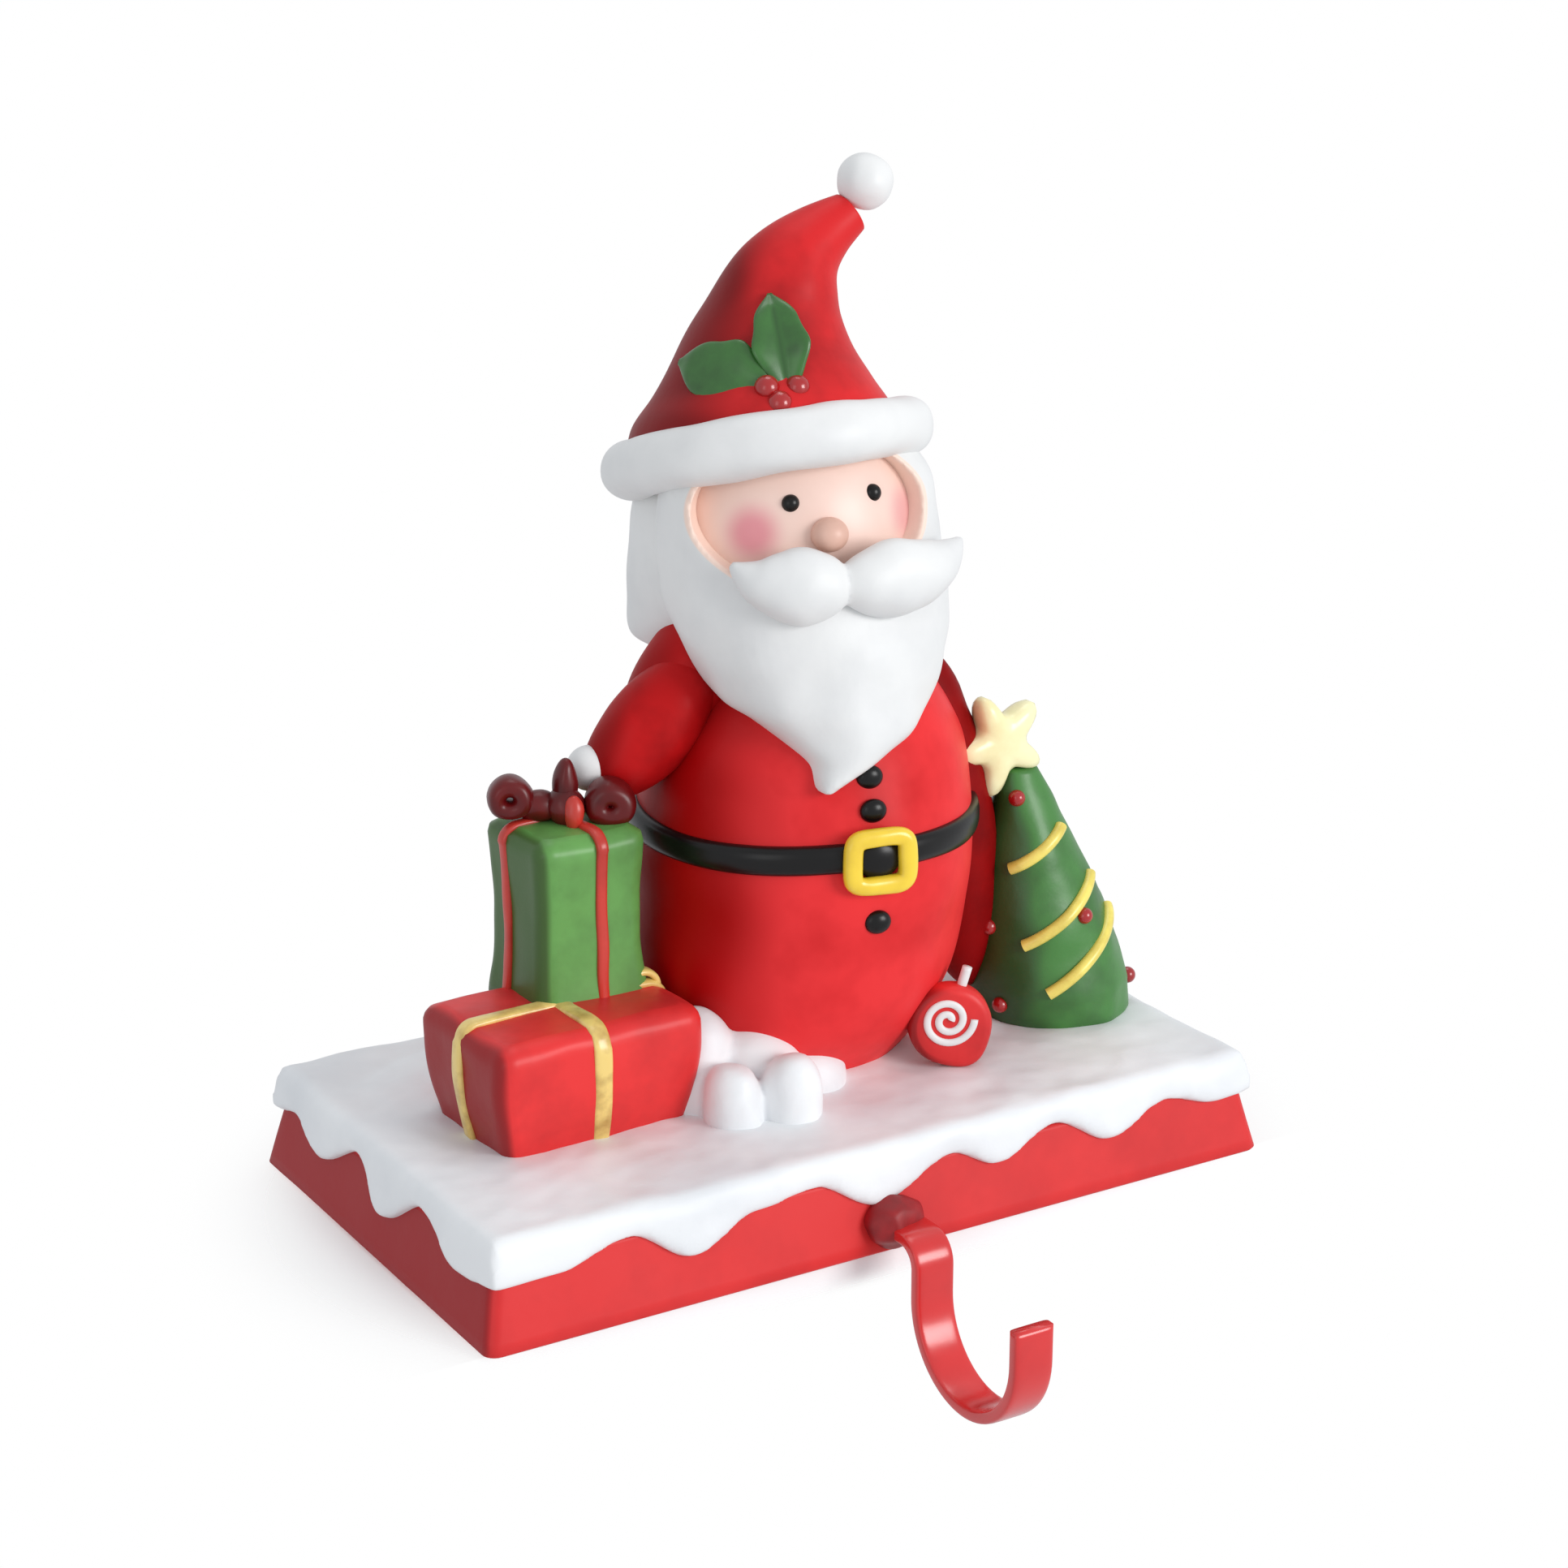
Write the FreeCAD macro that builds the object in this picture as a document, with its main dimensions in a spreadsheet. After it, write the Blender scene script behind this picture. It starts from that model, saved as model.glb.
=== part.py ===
import FreeCAD, Part
import Sketcher
import math
import os
import re

# Mantel stocking holder: a painted resin casting on a weighted slab, with a bent steel hook
# bonded in its front face and a felt pad under it. The origin is the centre of the resting
# face, with the front towards -Y and the shelf at Z = 0. The hook reaches below the shelf.

SIZES = (
    # Slab
    ("slab_length", 165.0),
    ("slab_depth", 95.0),
    ("slab_height", 15.0),
    ("slab_draft", 13.0),
    ("slab_corner", 2.5),
    # Snow blanket over the slab
    ("snow_thickness", 5.5),
    ("snow_drip", 6.4),
    ("snow_swell", 2.7),
    ("snow_retreat", 1.8),
    ("snow_roundness", 2.4),
    ("drift_height", 3.5),
    ("drift_sink", 3.0),
    # Felt pad in the recess under the slab
    ("pad_margin", 6.0),
    ("pad_thickness", 1.5),
    ("pad_recess", 1.0),
    ("pad_corner", 4.0),
    ("pad_clearance", 0.3),
    # Hook of flat steel strip
    ("strip_width", 8.0),
    ("strip_thickness", 2.4),
    ("tang_seat", 14.0),
    ("tang_reach", 5.5),
    ("tang_height", 5.5),
    ("bend_radius", 4.5),
    ("hook_drop", 5.2),
    ("hook_radius", 15.0),
    ("tip_rise", 6.7),
    ("tip_corner", 0.8),
    ("socket_clearance", 0.15),
    ("collar_radius", 6.8),
    ("collar_height", 5.4),
    ("collar_reach", 4.6),
    ("collar_lift", 0.8),
    ("collar_shift", 1.5),
    # Coat: an egg in two halves that meet at the belly
    ("figure_x", 15.0),
    ("figure_y", 6.0),
    ("figure_turn", -12.0),
    ("belly_height", 36.0),
    ("coat_radius", 33.0),
    ("coat_lower", 41.0),
    ("coat_upper", 46.0),
    ("belt_lift", 10.0),
    ("belt_radius", 2.8),
    ("belt_sink", 1.2),
    ("buckle_width", 14.0),
    ("buckle_height", 12.5),
    ("buckle_bar", 3.6),
    ("buckle_depth", 4.5),
    ("buckle_stand", 3.6),
    ("buckle_window", 1.8),
    ("button_radius", 2.4),
    ("button_stand", 0.9),
    ("upper_button_lift", 24.0),
    ("middle_button_lift", 18.5),
    ("lower_button_drop", 2.0),
    # Sleeves and mitten
    ("sleeve_radius", 8.4),
    ("sleeve_length", 16.0),
    ("sleeve_droop", 46.0),
    ("shoulder_drop", 16.5),
    ("sleeve_x", 33.5),
    ("sleeve_y", 3.5),
    ("mitten_radius", 5.4),
    ("left_sleeve_x", 26.5),
    ("left_sleeve_lift", 8.0),
    ("left_sleeve_length", 31.0),
    ("left_sleeve_lean", -9.0),
    # Head, hair, beard and moustache
    ("head_x", -5.0),
    ("head_y", 3.0),
    ("head_rise", 18.0),
    ("head_radius", 25.0),
    ("eye_lift", 9.8),
    ("eye_spread", 8.0),
    ("eye_radius", 1.7),
    ("nose_lift", 4.2),
    ("nose_shift", 1.4),
    ("nose_radius", 3.2),
    ("hair_radius", 27.5),
    ("hair_set_back", 2.0),
    ("hair_hem_drop", 23.0),
    ("crown_lift", 12.0),
    ("beard_half_width", 26.6),
    ("beard_half_depth", 21.7),
    ("beard_front", 32.0),
    ("beard_lift", 15.0),
    ("beard_tip_drop", 42.5),
    ("face_lift", 7.5),
    ("face_half_width", 25.0),
    ("face_half_height", 14.5),
    ("face_shift", 2.2),
    ("face_reach", 40.0),
    ("moustache_length", 22.0),
    ("moustache_skew", 3.0),
    ("moustache_drop", 4.6),
    ("moustache_half_height", 6.6),
    ("moustache_half_depth", 5.2),
    # Hat with its brim, pompom and holly
    ("hat_shift", 3.4),
    ("hat_set_back", 2.0),
    ("brim_lift", 13.4),
    ("brim_radius", 24.2),
    ("brim_thickness", 5.8),
    ("brim_tilt", -16.5),
    ("hat_radius", 24.4),
    ("hat_rise", 42.5),
    ("hat_curl", 18.4),
    ("hat_back", 4.0),
    ("hat_slope", 32.0),
    ("holly_lift", 15.8),
    ("holly_share", 0.76),
    ("holly_turn", -9.0),
    ("pompom_radius", 5.3),
    ("leaf_length", 15.5),
    ("leaf_width", 9.5),
    ("leaf_thickness", 2.6),
    ("berry_radius", 2.4),
    # Lower gift and its ribbons
    ("low_gift_x", -44.0),
    ("low_gift_y", -1.5),
    ("low_gift_turn", 2.0),
    ("low_gift_length", 44.0),
    ("low_gift_depth", 33.0),
    ("low_gift_height", 20.5),
    ("low_gift_swell", 0.8),
    ("gift_sink", 1.7),
    ("gift_roundness", 3.4),
    ("ribbon_width", 4.0),
    ("ribbon_stand", 0.8),
    # Upper gift, its ribbons and bow
    ("top_gift_x", -37.5),
    ("top_gift_y", 7.2),
    ("top_gift_turn", 1.5),
    ("top_gift_side", 23.0),
    ("top_gift_waist", 0.8),
    ("top_gift_height", 33.5),
    ("top_ribbon_width", 3.0),
    ("bow_reach", 8.8),
    ("bow_radius", 4.8),
    ("bow_hole", 1.6),
    ("bow_width", 7.0),
    ("knot_radius", 4.0),
    # Tree with its garlands, baubles and star
    ("tree_x", 63.2),
    ("tree_y", -4.2),
    ("tree_radius", 16.3),
    ("tree_height", 50.0),
    ("tree_top_radius", 3.6),
    ("tree_lean", -9.0),
    ("garland_width", 2.3),
    ("garland_stand", 1.0),
    ("garland_slope", 35.0),
    ("bauble_radius", 1.6),
    ("star_radius", 9.3),
    ("star_waist", 5.2),
    ("star_thickness", 5.0),
    ("star_roll", 24.0),
    ("star_shift", 4.0),
    ("star_sink", 2.8),
    # Lollipop
    ("sweet_x", 27.8),
    ("sweet_y", -21.0),
    ("sweet_radius", 7.9),
    ("sweet_lift", 8.4),
    ("sweet_thickness", 5.2),
    ("sweet_turn", -26.0),
    ("swirl_width", 1.1),
    ("swirl_stand", 0.5),
    ("swirl_turns", 2.0),
    ("stick_radius", 1.2),
    ("stick_length", 5.6),
    ("stick_lean", 22.0),
)

doc = FreeCAD.newDocument("StockingHolder")
sheet = doc.addObject("Spreadsheet::Sheet", "Sizes")
for row, (alias, value) in enumerate(SIZES, start=1):
    sheet.set(f"A{row}", alias)
    sheet.set(f"B{row}", str(value))
    sheet.setAlias(f"B{row}", alias)
doc.recompute()

Vector = FreeCAD.Vector
Rotation = FreeCAD.Rotation
ALIASES = {alias for alias, value in SIZES}
OVAL_POINTS = 12
SNOW_TOP = "(slab_height + snow_thickness)"
COAT_TOP = "(belly_height + coat_upper)"
HEAD_LEVEL = "(belly_height + coat_upper + head_rise)"


def size(alias):
    """A driving size read from the sheet."""
    return float(sheet.get(alias))


def level_of_head():
    """Height of the head's centre over the snow."""
    return size("belly_height") + size("coat_upper") + size("head_rise")


def formula(text):
    """A formula of sizes, with the sheet's name put before each of them."""
    return re.sub(r"[a-z_]+", lambda word: "Sizes." + word[0] if word[0] in ALIASES else word[0], text)


def bind(piece, **formulas):
    """Tie a piece's properties to formulas of the sheet."""
    for name, text in formulas.items():
        piece.setExpression(name, formula(text))
    return piece


def seat(piece, x="0", y="0", z="0", axis=None, turn=None):
    """Seat a piece at formulas of the sheet, turned by one of them about an axis."""
    if axis:
        piece.Placement = FreeCAD.Placement(Vector(), Rotation(Vector(axis), 1))
        piece.setExpression("Placement.Rotation.Angle", formula(turn))
    for key, text in zip("xyz", (x, y, z)):
        piece.setExpression("Placement.Base." + key, formula(text))
    return piece


def primitive(kind, label, **formulas):
    """A plain solid whose sizes are formulas of the sheet."""
    return bind(doc.addObject("Part::" + kind, label), **formulas)


def fuse(label, pieces):
    """One solid of several that run into each other."""
    joined = doc.addObject("Part::MultiFuse", label)
    joined.Shapes = pieces
    joined.Refine = False
    return joined


def cut(label, base, tool):
    """A solid with another taken out of it."""
    result = doc.addObject("Part::Cut", label)
    result.Base = base
    result.Tool = tool
    result.Refine = False
    return result


def shaped(label, shape):
    """A sculpted piece whose shape is worked out here."""
    piece = doc.addObject("Part::Feature", label)
    piece.Shape = shape
    return piece


def oval(centre, half_width, half_depth, direction=Vector(0, 0, 1)):
    """A closed oval section square to a direction."""
    place = FreeCAD.Placement(centre, Rotation(Vector(0, 0, 1), direction))
    turns = [2 * math.pi * step / OVAL_POINTS for step in range(OVAL_POINTS)]
    points = [
        place.multVec(Vector(half_width * math.cos(turn), half_depth * math.sin(turn), 0))
        for turn in turns
    ]
    curve = Part.BSplineCurve()
    curve.interpolate(points, PeriodicFlag=True)
    return Part.Wire(curve.toShape())


def blend(label, sections):
    """A solid drawn smoothly through a row of sections."""
    return shaped(label, Part.makeLoft(sections, True, False))


def plane_of(body, role):
    """One of a body's own origin planes."""
    return next(item for item in body.Origin.OriginFeatures if item.Role == role)


def sketch_on(body, label, role):
    """A sketch in a body, flat on one of its origin planes."""
    sketch = body.newObject("Sketcher::SketchObject", label)
    sketch.AttachmentSupport = [(plane_of(body, role), "")]
    sketch.MapMode = "FlatFace"
    return sketch


def centred_rectangle(sketch, length, depth):
    """A rectangle about the sketch's origin, with its two sizes bound."""
    Line = Part.LineSegment
    corners = [Vector(-1, -1), Vector(1, -1), Vector(1, 1), Vector(-1, 1)]
    for start, end in zip(corners, corners[1:] + corners[:1]):
        sketch.addGeometry(Line(start, end), False)
    constraint = Sketcher.Constraint
    for edge in range(4):
        sketch.addConstraint(constraint("Coincident", edge, 2, (edge + 1) % 4, 1))
    for edge, kind in enumerate(("Horizontal", "Vertical", "Horizontal", "Vertical")):
        sketch.addConstraint(constraint(kind, edge))
    sketch.addConstraint(constraint("Symmetric", 0, 1, 2, 1, -1, 1))
    sketch.addConstraint(constraint("DistanceX", 0, 1, 0, 2, size("slab_length")))
    sketch.renameConstraint(9, "Length")
    sketch.addConstraint(constraint("DistanceY", 1, 1, 1, 2, size("slab_depth")))
    sketch.renameConstraint(10, "Depth")
    bind(sketch, **{"Constraints.Length": length, "Constraints.Depth": depth})


def upright_edges(shape):
    """Names of the edges that climb between the top and bottom faces."""
    box = shape.BoundBox
    return [
        f"Edge{number}"
        for number, edge in enumerate(shape.Edges, start=1)
        if edge.BoundBox.ZLength > box.ZLength / 2
    ]


def slab():
    """The weighted slab: a low block with drafted sides, its bottom ring standing on the shelf."""
    body = doc.addObject("PartDesign::Body", "Slab")
    outline = sketch_on(body, "SlabOutline", "XY_Plane")
    centred_rectangle(outline, "slab_length", "slab_depth")
    pad = body.newObject("PartDesign::Pad", "SlabPad")
    pad.Profile = outline
    bind(pad, Length="slab_height - pad_thickness + pad_recess", TaperAngle="-slab_draft")
    doc.recompute()
    rounding = body.newObject("PartDesign::Fillet", "SlabCorners")
    rounding.Base = (pad, upright_edges(pad.Shape))
    bind(rounding, Radius="slab_corner")
    seat(body, z="pad_thickness - pad_recess")
    return body


def snow_outline(inset, height):
    """The blanket's edge in plan, drawn in by an inset: it swells past the slab's edge at each drip."""
    draft = size("slab_height") * math.tan(math.radians(size("slab_draft")))
    half_length = size("slab_length") / 2 - draft - inset
    half_depth = size("slab_depth") / 2 - draft - inset
    # Place along the edge as a share of its half, then the swing: 1 is a full drip, -1 a full retreat.
    front = ((-0.86, 0.1), (-0.68, -0.8), (-0.53, 1), (-0.36, -0.4), (-0.21, -0.8), (-0.05, 0.9),
             (0.16, -0.7), (0.28, 0.4), (0.45, -0.9), (0.6, 0.7), (0.77, -0.6), (0.92, 0.2))
    right = ((-0.8, 0.3), (-0.5, -0.8), (-0.15, 0.9), (0.15, -0.7), (0.5, 0.8), (0.82, -0.3))
    back = ((0.88, 0.2), (0.66, -0.7), (0.42, 0.9), (0.2, -0.6), (0, 0.6), (-0.24, -0.8),
            (-0.46, 0.9), (-0.68, -0.6), (-0.87, 0.3))
    left = ((0.82, -0.3), (0.54, 0.8), (0.2, -1), (-0.08, 1), (-0.4, -1), (-0.74, 0.5))
    corner_swing = 0.15

    def swing(amount):
        return amount * (size("snow_swell") if amount > 0 else size("snow_retreat"))

    def corner(x_side, y_side):
        out = swing(corner_swing)
        return Vector(x_side * (half_length + out), y_side * (half_depth + out), height)

    front_left, front_right = corner(-1, -1), corner(1, -1)
    back_left, back_right = corner(-1, 1), corner(1, 1)
    sides = (
        [front_left] + [Vector(share * half_length, -half_depth - swing(amount), height)
                        for share, amount in front] + [front_right],
        [front_right] + [Vector(half_length + swing(amount), share * half_depth, height)
                         for share, amount in right] + [back_right],
        [back_right] + [Vector(share * half_length, half_depth + swing(amount), height)
                        for share, amount in back] + [back_left],
        [back_left] + [Vector(-half_length - swing(amount), share * half_depth, height)
                       for share, amount in left] + [front_left],
    )
    edges = []
    for points in sides:
        curve = Part.BSplineCurve()
        curve.interpolate(points)
        edges.append(curve.toShape())
    return Part.Wire(edges)


def snow_blanket():
    """The snow blanket, its rounded rim hanging over the slab in drips."""
    depth = size("snow_drip") + size("snow_thickness")
    rim = size("snow_roundness")
    # Height as a share of the blanket, and how far the rim is drawn in there.
    rings = ((0, 0.3), (0.12, 0), (0.62, 0), (0.88, 0.35), (1, 1))
    blanket = blend("SnowBlanket", [snow_outline(rim * draw, depth * share) for share, draw in rings])
    return seat(blanket, z="slab_height - snow_drip")


def drifts():
    """Low soft drifts on the blanket, their rims sunk in it."""
    # Centre and half sizes of each drift as shares of the slab, and its height as a share of a drift's.
    places = ((0.08, 0.1, 0.32, 0.3, 1.1), (0.3, 0.17, 0.14, 0.2, 1),
              (-0.29, 0.22, 0.15, 0.17, 1), (-0.26, -0.16, 0.18, 0.22, 0.5))
    pieces = []
    for number, (x, y, half_x, half_y, height) in enumerate(places, start=1):
        drift = primitive("Ellipsoid", f"Drift{number}", Radius1=f"drift_height * {height} + drift_sink",
                          Radius2=f"slab_length * {half_x}", Radius3=f"slab_depth * {half_y}")
        pieces.append(seat(drift, f"slab_length * {x}", f"slab_depth * {y}", SNOW_TOP + " - drift_sink"))
    return pieces


def socket_collar():
    """A rounded lump of resin round the socket of the hook's tang."""
    lump = primitive("Ellipsoid", "SocketCollar", Radius1="collar_reach", Radius2="collar_radius",
                     Radius3="collar_height")
    return seat(lump, "-collar_shift", "-slab_depth / 2", "tang_height + collar_lift", (1, 0, 0), "90")


def coat():
    """The coat: an egg of two half ovals, with the belt, the buckle and the buttons on its front."""
    lower = primitive("Ellipsoid", "CoatLower", Radius1="coat_lower", Radius2="coat_radius",
                      Radius3="coat_radius", Angle1="-90", Angle2="0")
    upper = primitive("Ellipsoid", "CoatUpper", Radius1="coat_upper", Radius2="coat_radius",
                      Radius3="coat_radius", Angle1="0", Angle2="90")
    seat(lower, z="belly_height")
    seat(upper, z="belly_height")
    girth = "coat_radius * sqrt(1 - (belt_lift / coat_upper)^2)"
    belt = primitive("Torus", "Belt", Radius1=girth + " - belt_sink", Radius2="belt_radius")
    seat(belt, z="belly_height + belt_lift")
    frame = primitive("Box", "BuckleFrame", Length="buckle_width", Width="buckle_depth",
                      Height="buckle_height")
    seat(frame, "-buckle_width / 2", "-(" + girth + ") - buckle_stand",
         "belly_height + belt_lift - buckle_height / 2")
    doc.recompute()
    rounded = doc.addObject("Part::Fillet", "BuckleCorners")
    rounded.Base = frame
    radius = size("buckle_bar") / 2
    rounded.Edges = [
        (number, radius, radius)
        for number, edge in enumerate(frame.Shape.Edges, start=1)
        if edge.BoundBox.YLength > size("buckle_depth") / 2
    ]
    window = primitive("Box", "BuckleWindow", Length="buckle_width - 2 * buckle_bar",
                       Width="buckle_window",
                       Height="buckle_height - 2 * buckle_bar")
    seat(window, "-buckle_width / 2 + buckle_bar", "-(" + girth + ") - buckle_stand",
         "belly_height + belt_lift - buckle_height / 2 + buckle_bar")
    pieces = [lower, upper, belt, cut("Buckle", rounded, window)]
    for label, lift, half in (("UpperButton", "upper_button_lift", "coat_upper"),
                              ("MiddleButton", "middle_button_lift", "coat_upper"),
                              ("LowerButton", "-lower_button_drop", "coat_lower")):
        button = primitive("Sphere", label, Radius="button_radius")
        front = f"coat_radius * sqrt(1 - (({lift}) / {half})^2)"
        pieces.append(seat(button, "0", f"-({front}) + button_radius - button_stand",
                           f"belly_height + ({lift})"))
    return pieces


def sleeves():
    """The right sleeve reaches out to the gifts with its mitten; the left hangs by the tree."""
    right = primitive("Ellipsoid", "RightSleeve", Radius1="sleeve_radius", Radius2="sleeve_length",
                      Radius3="sleeve_radius")
    seat(right, "-sleeve_x", "-sleeve_y", COAT_TOP + " - shoulder_drop", (0, 1, 0), "-sleeve_droop")
    mitten = primitive("Sphere", "RightMitten", Radius="mitten_radius")
    reach = "(sleeve_length - mitten_radius / 3)"
    seat(mitten, f"-sleeve_x - {reach} * cos(sleeve_droop * 1deg) - mitten_radius / 2", "-sleeve_y",
         COAT_TOP + f" - shoulder_drop - {reach} * sin(sleeve_droop * 1deg) + mitten_radius")
    left = primitive("Ellipsoid", "LeftSleeve", Radius1="left_sleeve_length",
                     Radius2="sleeve_radius * 0.8", Radius3="sleeve_radius")
    seat(left, "left_sleeve_x", "0", "belly_height + left_sleeve_lift", (0, 1, 0), "left_sleeve_lean")
    return [right, mitten, left]


def head():
    """The head with its eyes and nose, the hair behind it and the beard that wraps round it."""
    skull = primitive("Sphere", "Head", Radius="head_radius")
    seat(skull, "head_x", "head_y", HEAD_LEVEL)
    pieces = [skull]
    eye_out = "(head_y - sqrt(head_radius^2 - eye_spread^2 - eye_lift^2) + eye_radius / 2)"
    for side, name in ((-1, "RightEye"), (1, "LeftEye")):
        eye = primitive("Sphere", name, Radius="eye_radius")
        pieces.append(seat(eye, f"head_x + eye_spread * {side}", eye_out, HEAD_LEVEL + " + eye_lift"))
    nose = primitive("Sphere", "Nose", Radius="nose_radius")
    pieces.append(seat(nose, "head_x - nose_shift", "head_y - head_radius", HEAD_LEVEL + " + nose_lift"))
    # Height as a share of the hair's, and the radius there as a share of the hair's.
    rings = ((0, 0.72), (0.05, 0.84), (0.2, 0.95), (0.5, 1), (0.7, 0.98), (0.85, 0.9), (1, 0.6))
    hair = blend("Hair", [
        oval(Vector(0, 0, share * (size("crown_lift") + size("hair_hem_drop"))),
             draw * size("hair_radius"), draw * size("hair_radius"))
        for share, draw in rings
    ])
    seat(hair, "head_x", "head_y + hair_set_back", HEAD_LEVEL + " - hair_hem_drop")
    window = primitive("Ellipsoid", "FaceWindow", Radius1="face_half_height",
                       Radius2="face_half_width", Radius3="face_reach")
    seat(window, "head_x - face_shift", "head_y - face_reach", HEAD_LEVEL + " + face_lift")
    whiskers = cut("Whiskers", fuse("HairAndBeard", [hair, beard()]), window)
    return pieces + [whiskers] + moustache()


def beard():
    """The beard narrows from ear width to a tip on the coat, with a front that hangs straight."""
    length = size("beard_lift") + size("beard_tip_drop")
    base = level_of_head() - size("beard_tip_drop")
    # Height, half width, half depth and front as shares of the beard's, and its swing in half widths.
    rings = ((1, 0.88, 0.74, 0.64, -0.06), (0.7, 0.995, 0.93, 0.8, 0), (0.53, 0.985, 1, 0.89, 0.035),
             (0.39, 0.89, 0.96, 0.94, 0.066), (0.27, 0.75, 0.83, 0.97, 0.075),
             (0.18, 0.55, 0.67, 0.985, 0.128), (0.12, 0.36, 0.53, 1, 0.09),
             (0.06, 0.14, 0.33, 1.005, -0.04), (0.01, 0.05, 0.17, 0.985, -0.14))
    sections = []
    for height, width, depth, front, swing in rings:
        half_depth = depth * size("beard_half_depth")
        centre = Vector(size("head_x") + swing * size("beard_half_width"),
                        half_depth - front * size("beard_front"), base + height * length)
        sections.append(oval(centre, width * size("beard_half_width"), half_depth))
    return blend("Beard", sections)


def moustache():
    """Two fat lobes that part under the nose, follow the beard round and end in points."""
    # Share of the length, then the lift, the half height and the half depth as shares of the half height.
    rings = ((-0.05, 0, 0.4, 0.4), (0.12, 0, 0.85, 0.8), (0.4, 0, 1, 1), (0.64, 0.2, 0.8, 0.8),
             (0.85, 0.55, 0.42, 0.5), (1, 0.85, 0.1, 0.1))
    level = level_of_head() - size("moustache_drop")
    wrap = size("beard_half_width") + size("moustache_half_depth")
    lobes = []
    for side, label in ((-1, "RightMoustache"), (1, "LeftMoustache")):
        length = size("moustache_length") + side * size("moustache_skew")
        sections = []
        for along, lift, height, depth in rings:
            out = along * length
            back = size("beard_half_depth") * (1 - math.sqrt(1 - (out / wrap) ** 2))
            centre = Vector(size("head_x") + side * out, back - size("beard_front") * 0.87,
                            level + lift * size("moustache_half_height"))
            sections.append(oval(centre, height * size("moustache_half_height"),
                                 depth * size("moustache_half_depth"), Vector(side, 0, 0)))
        lobes.append(blend(label, sections))
    return lobes


def hat():
    """The hat: a thick tilted brim, a crown that curls over to one side, and a pompom on its tip."""
    roll = size("brim_thickness")
    # Heights through the rolled brim as shares of its half thickness.
    steps = (-0.95, -0.75, -0.4, 0, 0.4, 0.75, 0.95)
    reaches = [size("brim_radius") + roll * math.sqrt(1 - step * step) for step in steps]
    brim = blend("Brim", [oval(Vector(0, 0, step * roll), reach, reach)
                          for step, reach in zip(steps, reaches)])
    seat(brim, "head_x - hat_shift", "head_y + hat_set_back", HEAD_LEVEL + " + brim_lift",
         (1, 0.25, 0), "brim_tilt")
    # Rise, sideways curl, set back and radius as shares of the hat's, then the sideways lean in degrees.
    rings = ((-0.04, -0.02, 0, 1.06, 0), (0.127, 0, 0.3, 1, 0), (0.27, 0.02, 0.5, 0.84, 0),
             (0.43, 0.05, 0.7, 0.67, 3), (0.58, 0.12, 0.84, 0.535, 8), (0.715, 0.24, 0.93, 0.465, 18),
             (0.835, 0.41, 1, 0.39, 34), (0.93, 0.68, 1, 0.28, 50), (1, 1, 1, 0.16, 60))
    tilt = math.radians(size("brim_tilt"))
    base = Vector(size("head_x") - size("hat_shift"), size("head_y") + size("hat_set_back"),
                  level_of_head() + size("brim_lift"))
    sections = []
    for rise, curl, back, radius, lean in rings:
        centre = base + Vector(curl * size("hat_curl"), back * size("hat_back"), rise * size("hat_rise"))
        side = math.sin(math.radians(lean))
        direction = Vector(side, -math.sin(tilt) * (1 - side), math.cos(math.radians(lean)))
        sections.append(oval(centre, radius * size("hat_radius"), radius * size("hat_radius"), direction))
    crown = blend("Crown", sections)
    pompom = primitive("Sphere", "Pompom", Radius="pompom_radius")
    seat(pompom, "head_x - hat_shift + hat_curl + pompom_radius / 2", "head_y + hat_set_back + hat_back",
         HEAD_LEVEL + " + brim_lift + hat_rise + pompom_radius")
    return [brim, crown, pompom] + holly()


def leaf(label, root, direction, normal, share=1):
    """A holly leaf: scalloped edges between spikes, from its root along a direction."""
    length = share * size("leaf_length")
    half = share * size("leaf_width") / 2
    spikes = ((0, 0), (0.2, 0.62), (0.5, 1), (0.8, 0.62), (1, 0))
    scallop = 0.72
    edges = []
    for flip in (1, -1):
        ring = spikes if flip == 1 else spikes[::-1]
        for start, end in zip(ring, ring[1:]):
            first = Vector(start[0] * length, flip * start[1] * half, 0)
            last = Vector(end[0] * length, flip * end[1] * half, 0)
            middle = (first + last) / 2
            middle.y = middle.y * scallop
            edges.append(Part.Arc(first, middle, last).toShape())
    blade = Part.Face(Part.Wire(edges)).extrude(Vector(0, 0, size("leaf_thickness")))
    across = normal.cross(direction)
    blade.Placement = FreeCAD.Placement(root, Rotation(direction, across, normal, "XZY"))
    return shaped(label, blade)


def holly():
    """Two holly leaves and three berries pinned over the brim, on the hat's right front."""
    level = level_of_head() + size("brim_lift") + size("holly_lift")
    reach = size("hat_radius") * size("holly_share")
    angle = math.radians(size("holly_turn"))
    out = Vector(math.sin(angle), -math.cos(angle), 0)
    root = Vector(size("head_x") - size("hat_shift"),
                  size("head_y") + size("hat_set_back") + size("hat_back") / 2, level) + out * reach
    up = Vector(0, math.sin(math.radians(size("hat_slope"))), math.cos(math.radians(size("hat_slope"))))
    side = Vector(-math.cos(angle * 5), -math.sin(angle * 5), 0.3)
    pieces = [
        leaf("UprightLeaf", root - up, up, Vector(0, -up.z, up.y)),
        leaf("SideLeaf", root + Vector(0, 0, 1), side, Vector(-0.45, -0.75, 0.5)),
    ]
    step = size("berry_radius")
    for number, (x, z) in enumerate(((-0.9, 0.3), (0.1, -0.9), (1.2, 0.2)), start=1):
        berry = primitive("Sphere", f"Berry{number}", Radius="berry_radius")
        berry.Placement.Base = root + Vector(x * step, -0.5 * step, z * step)
        pieces.append(berry)
    return pieces


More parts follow.
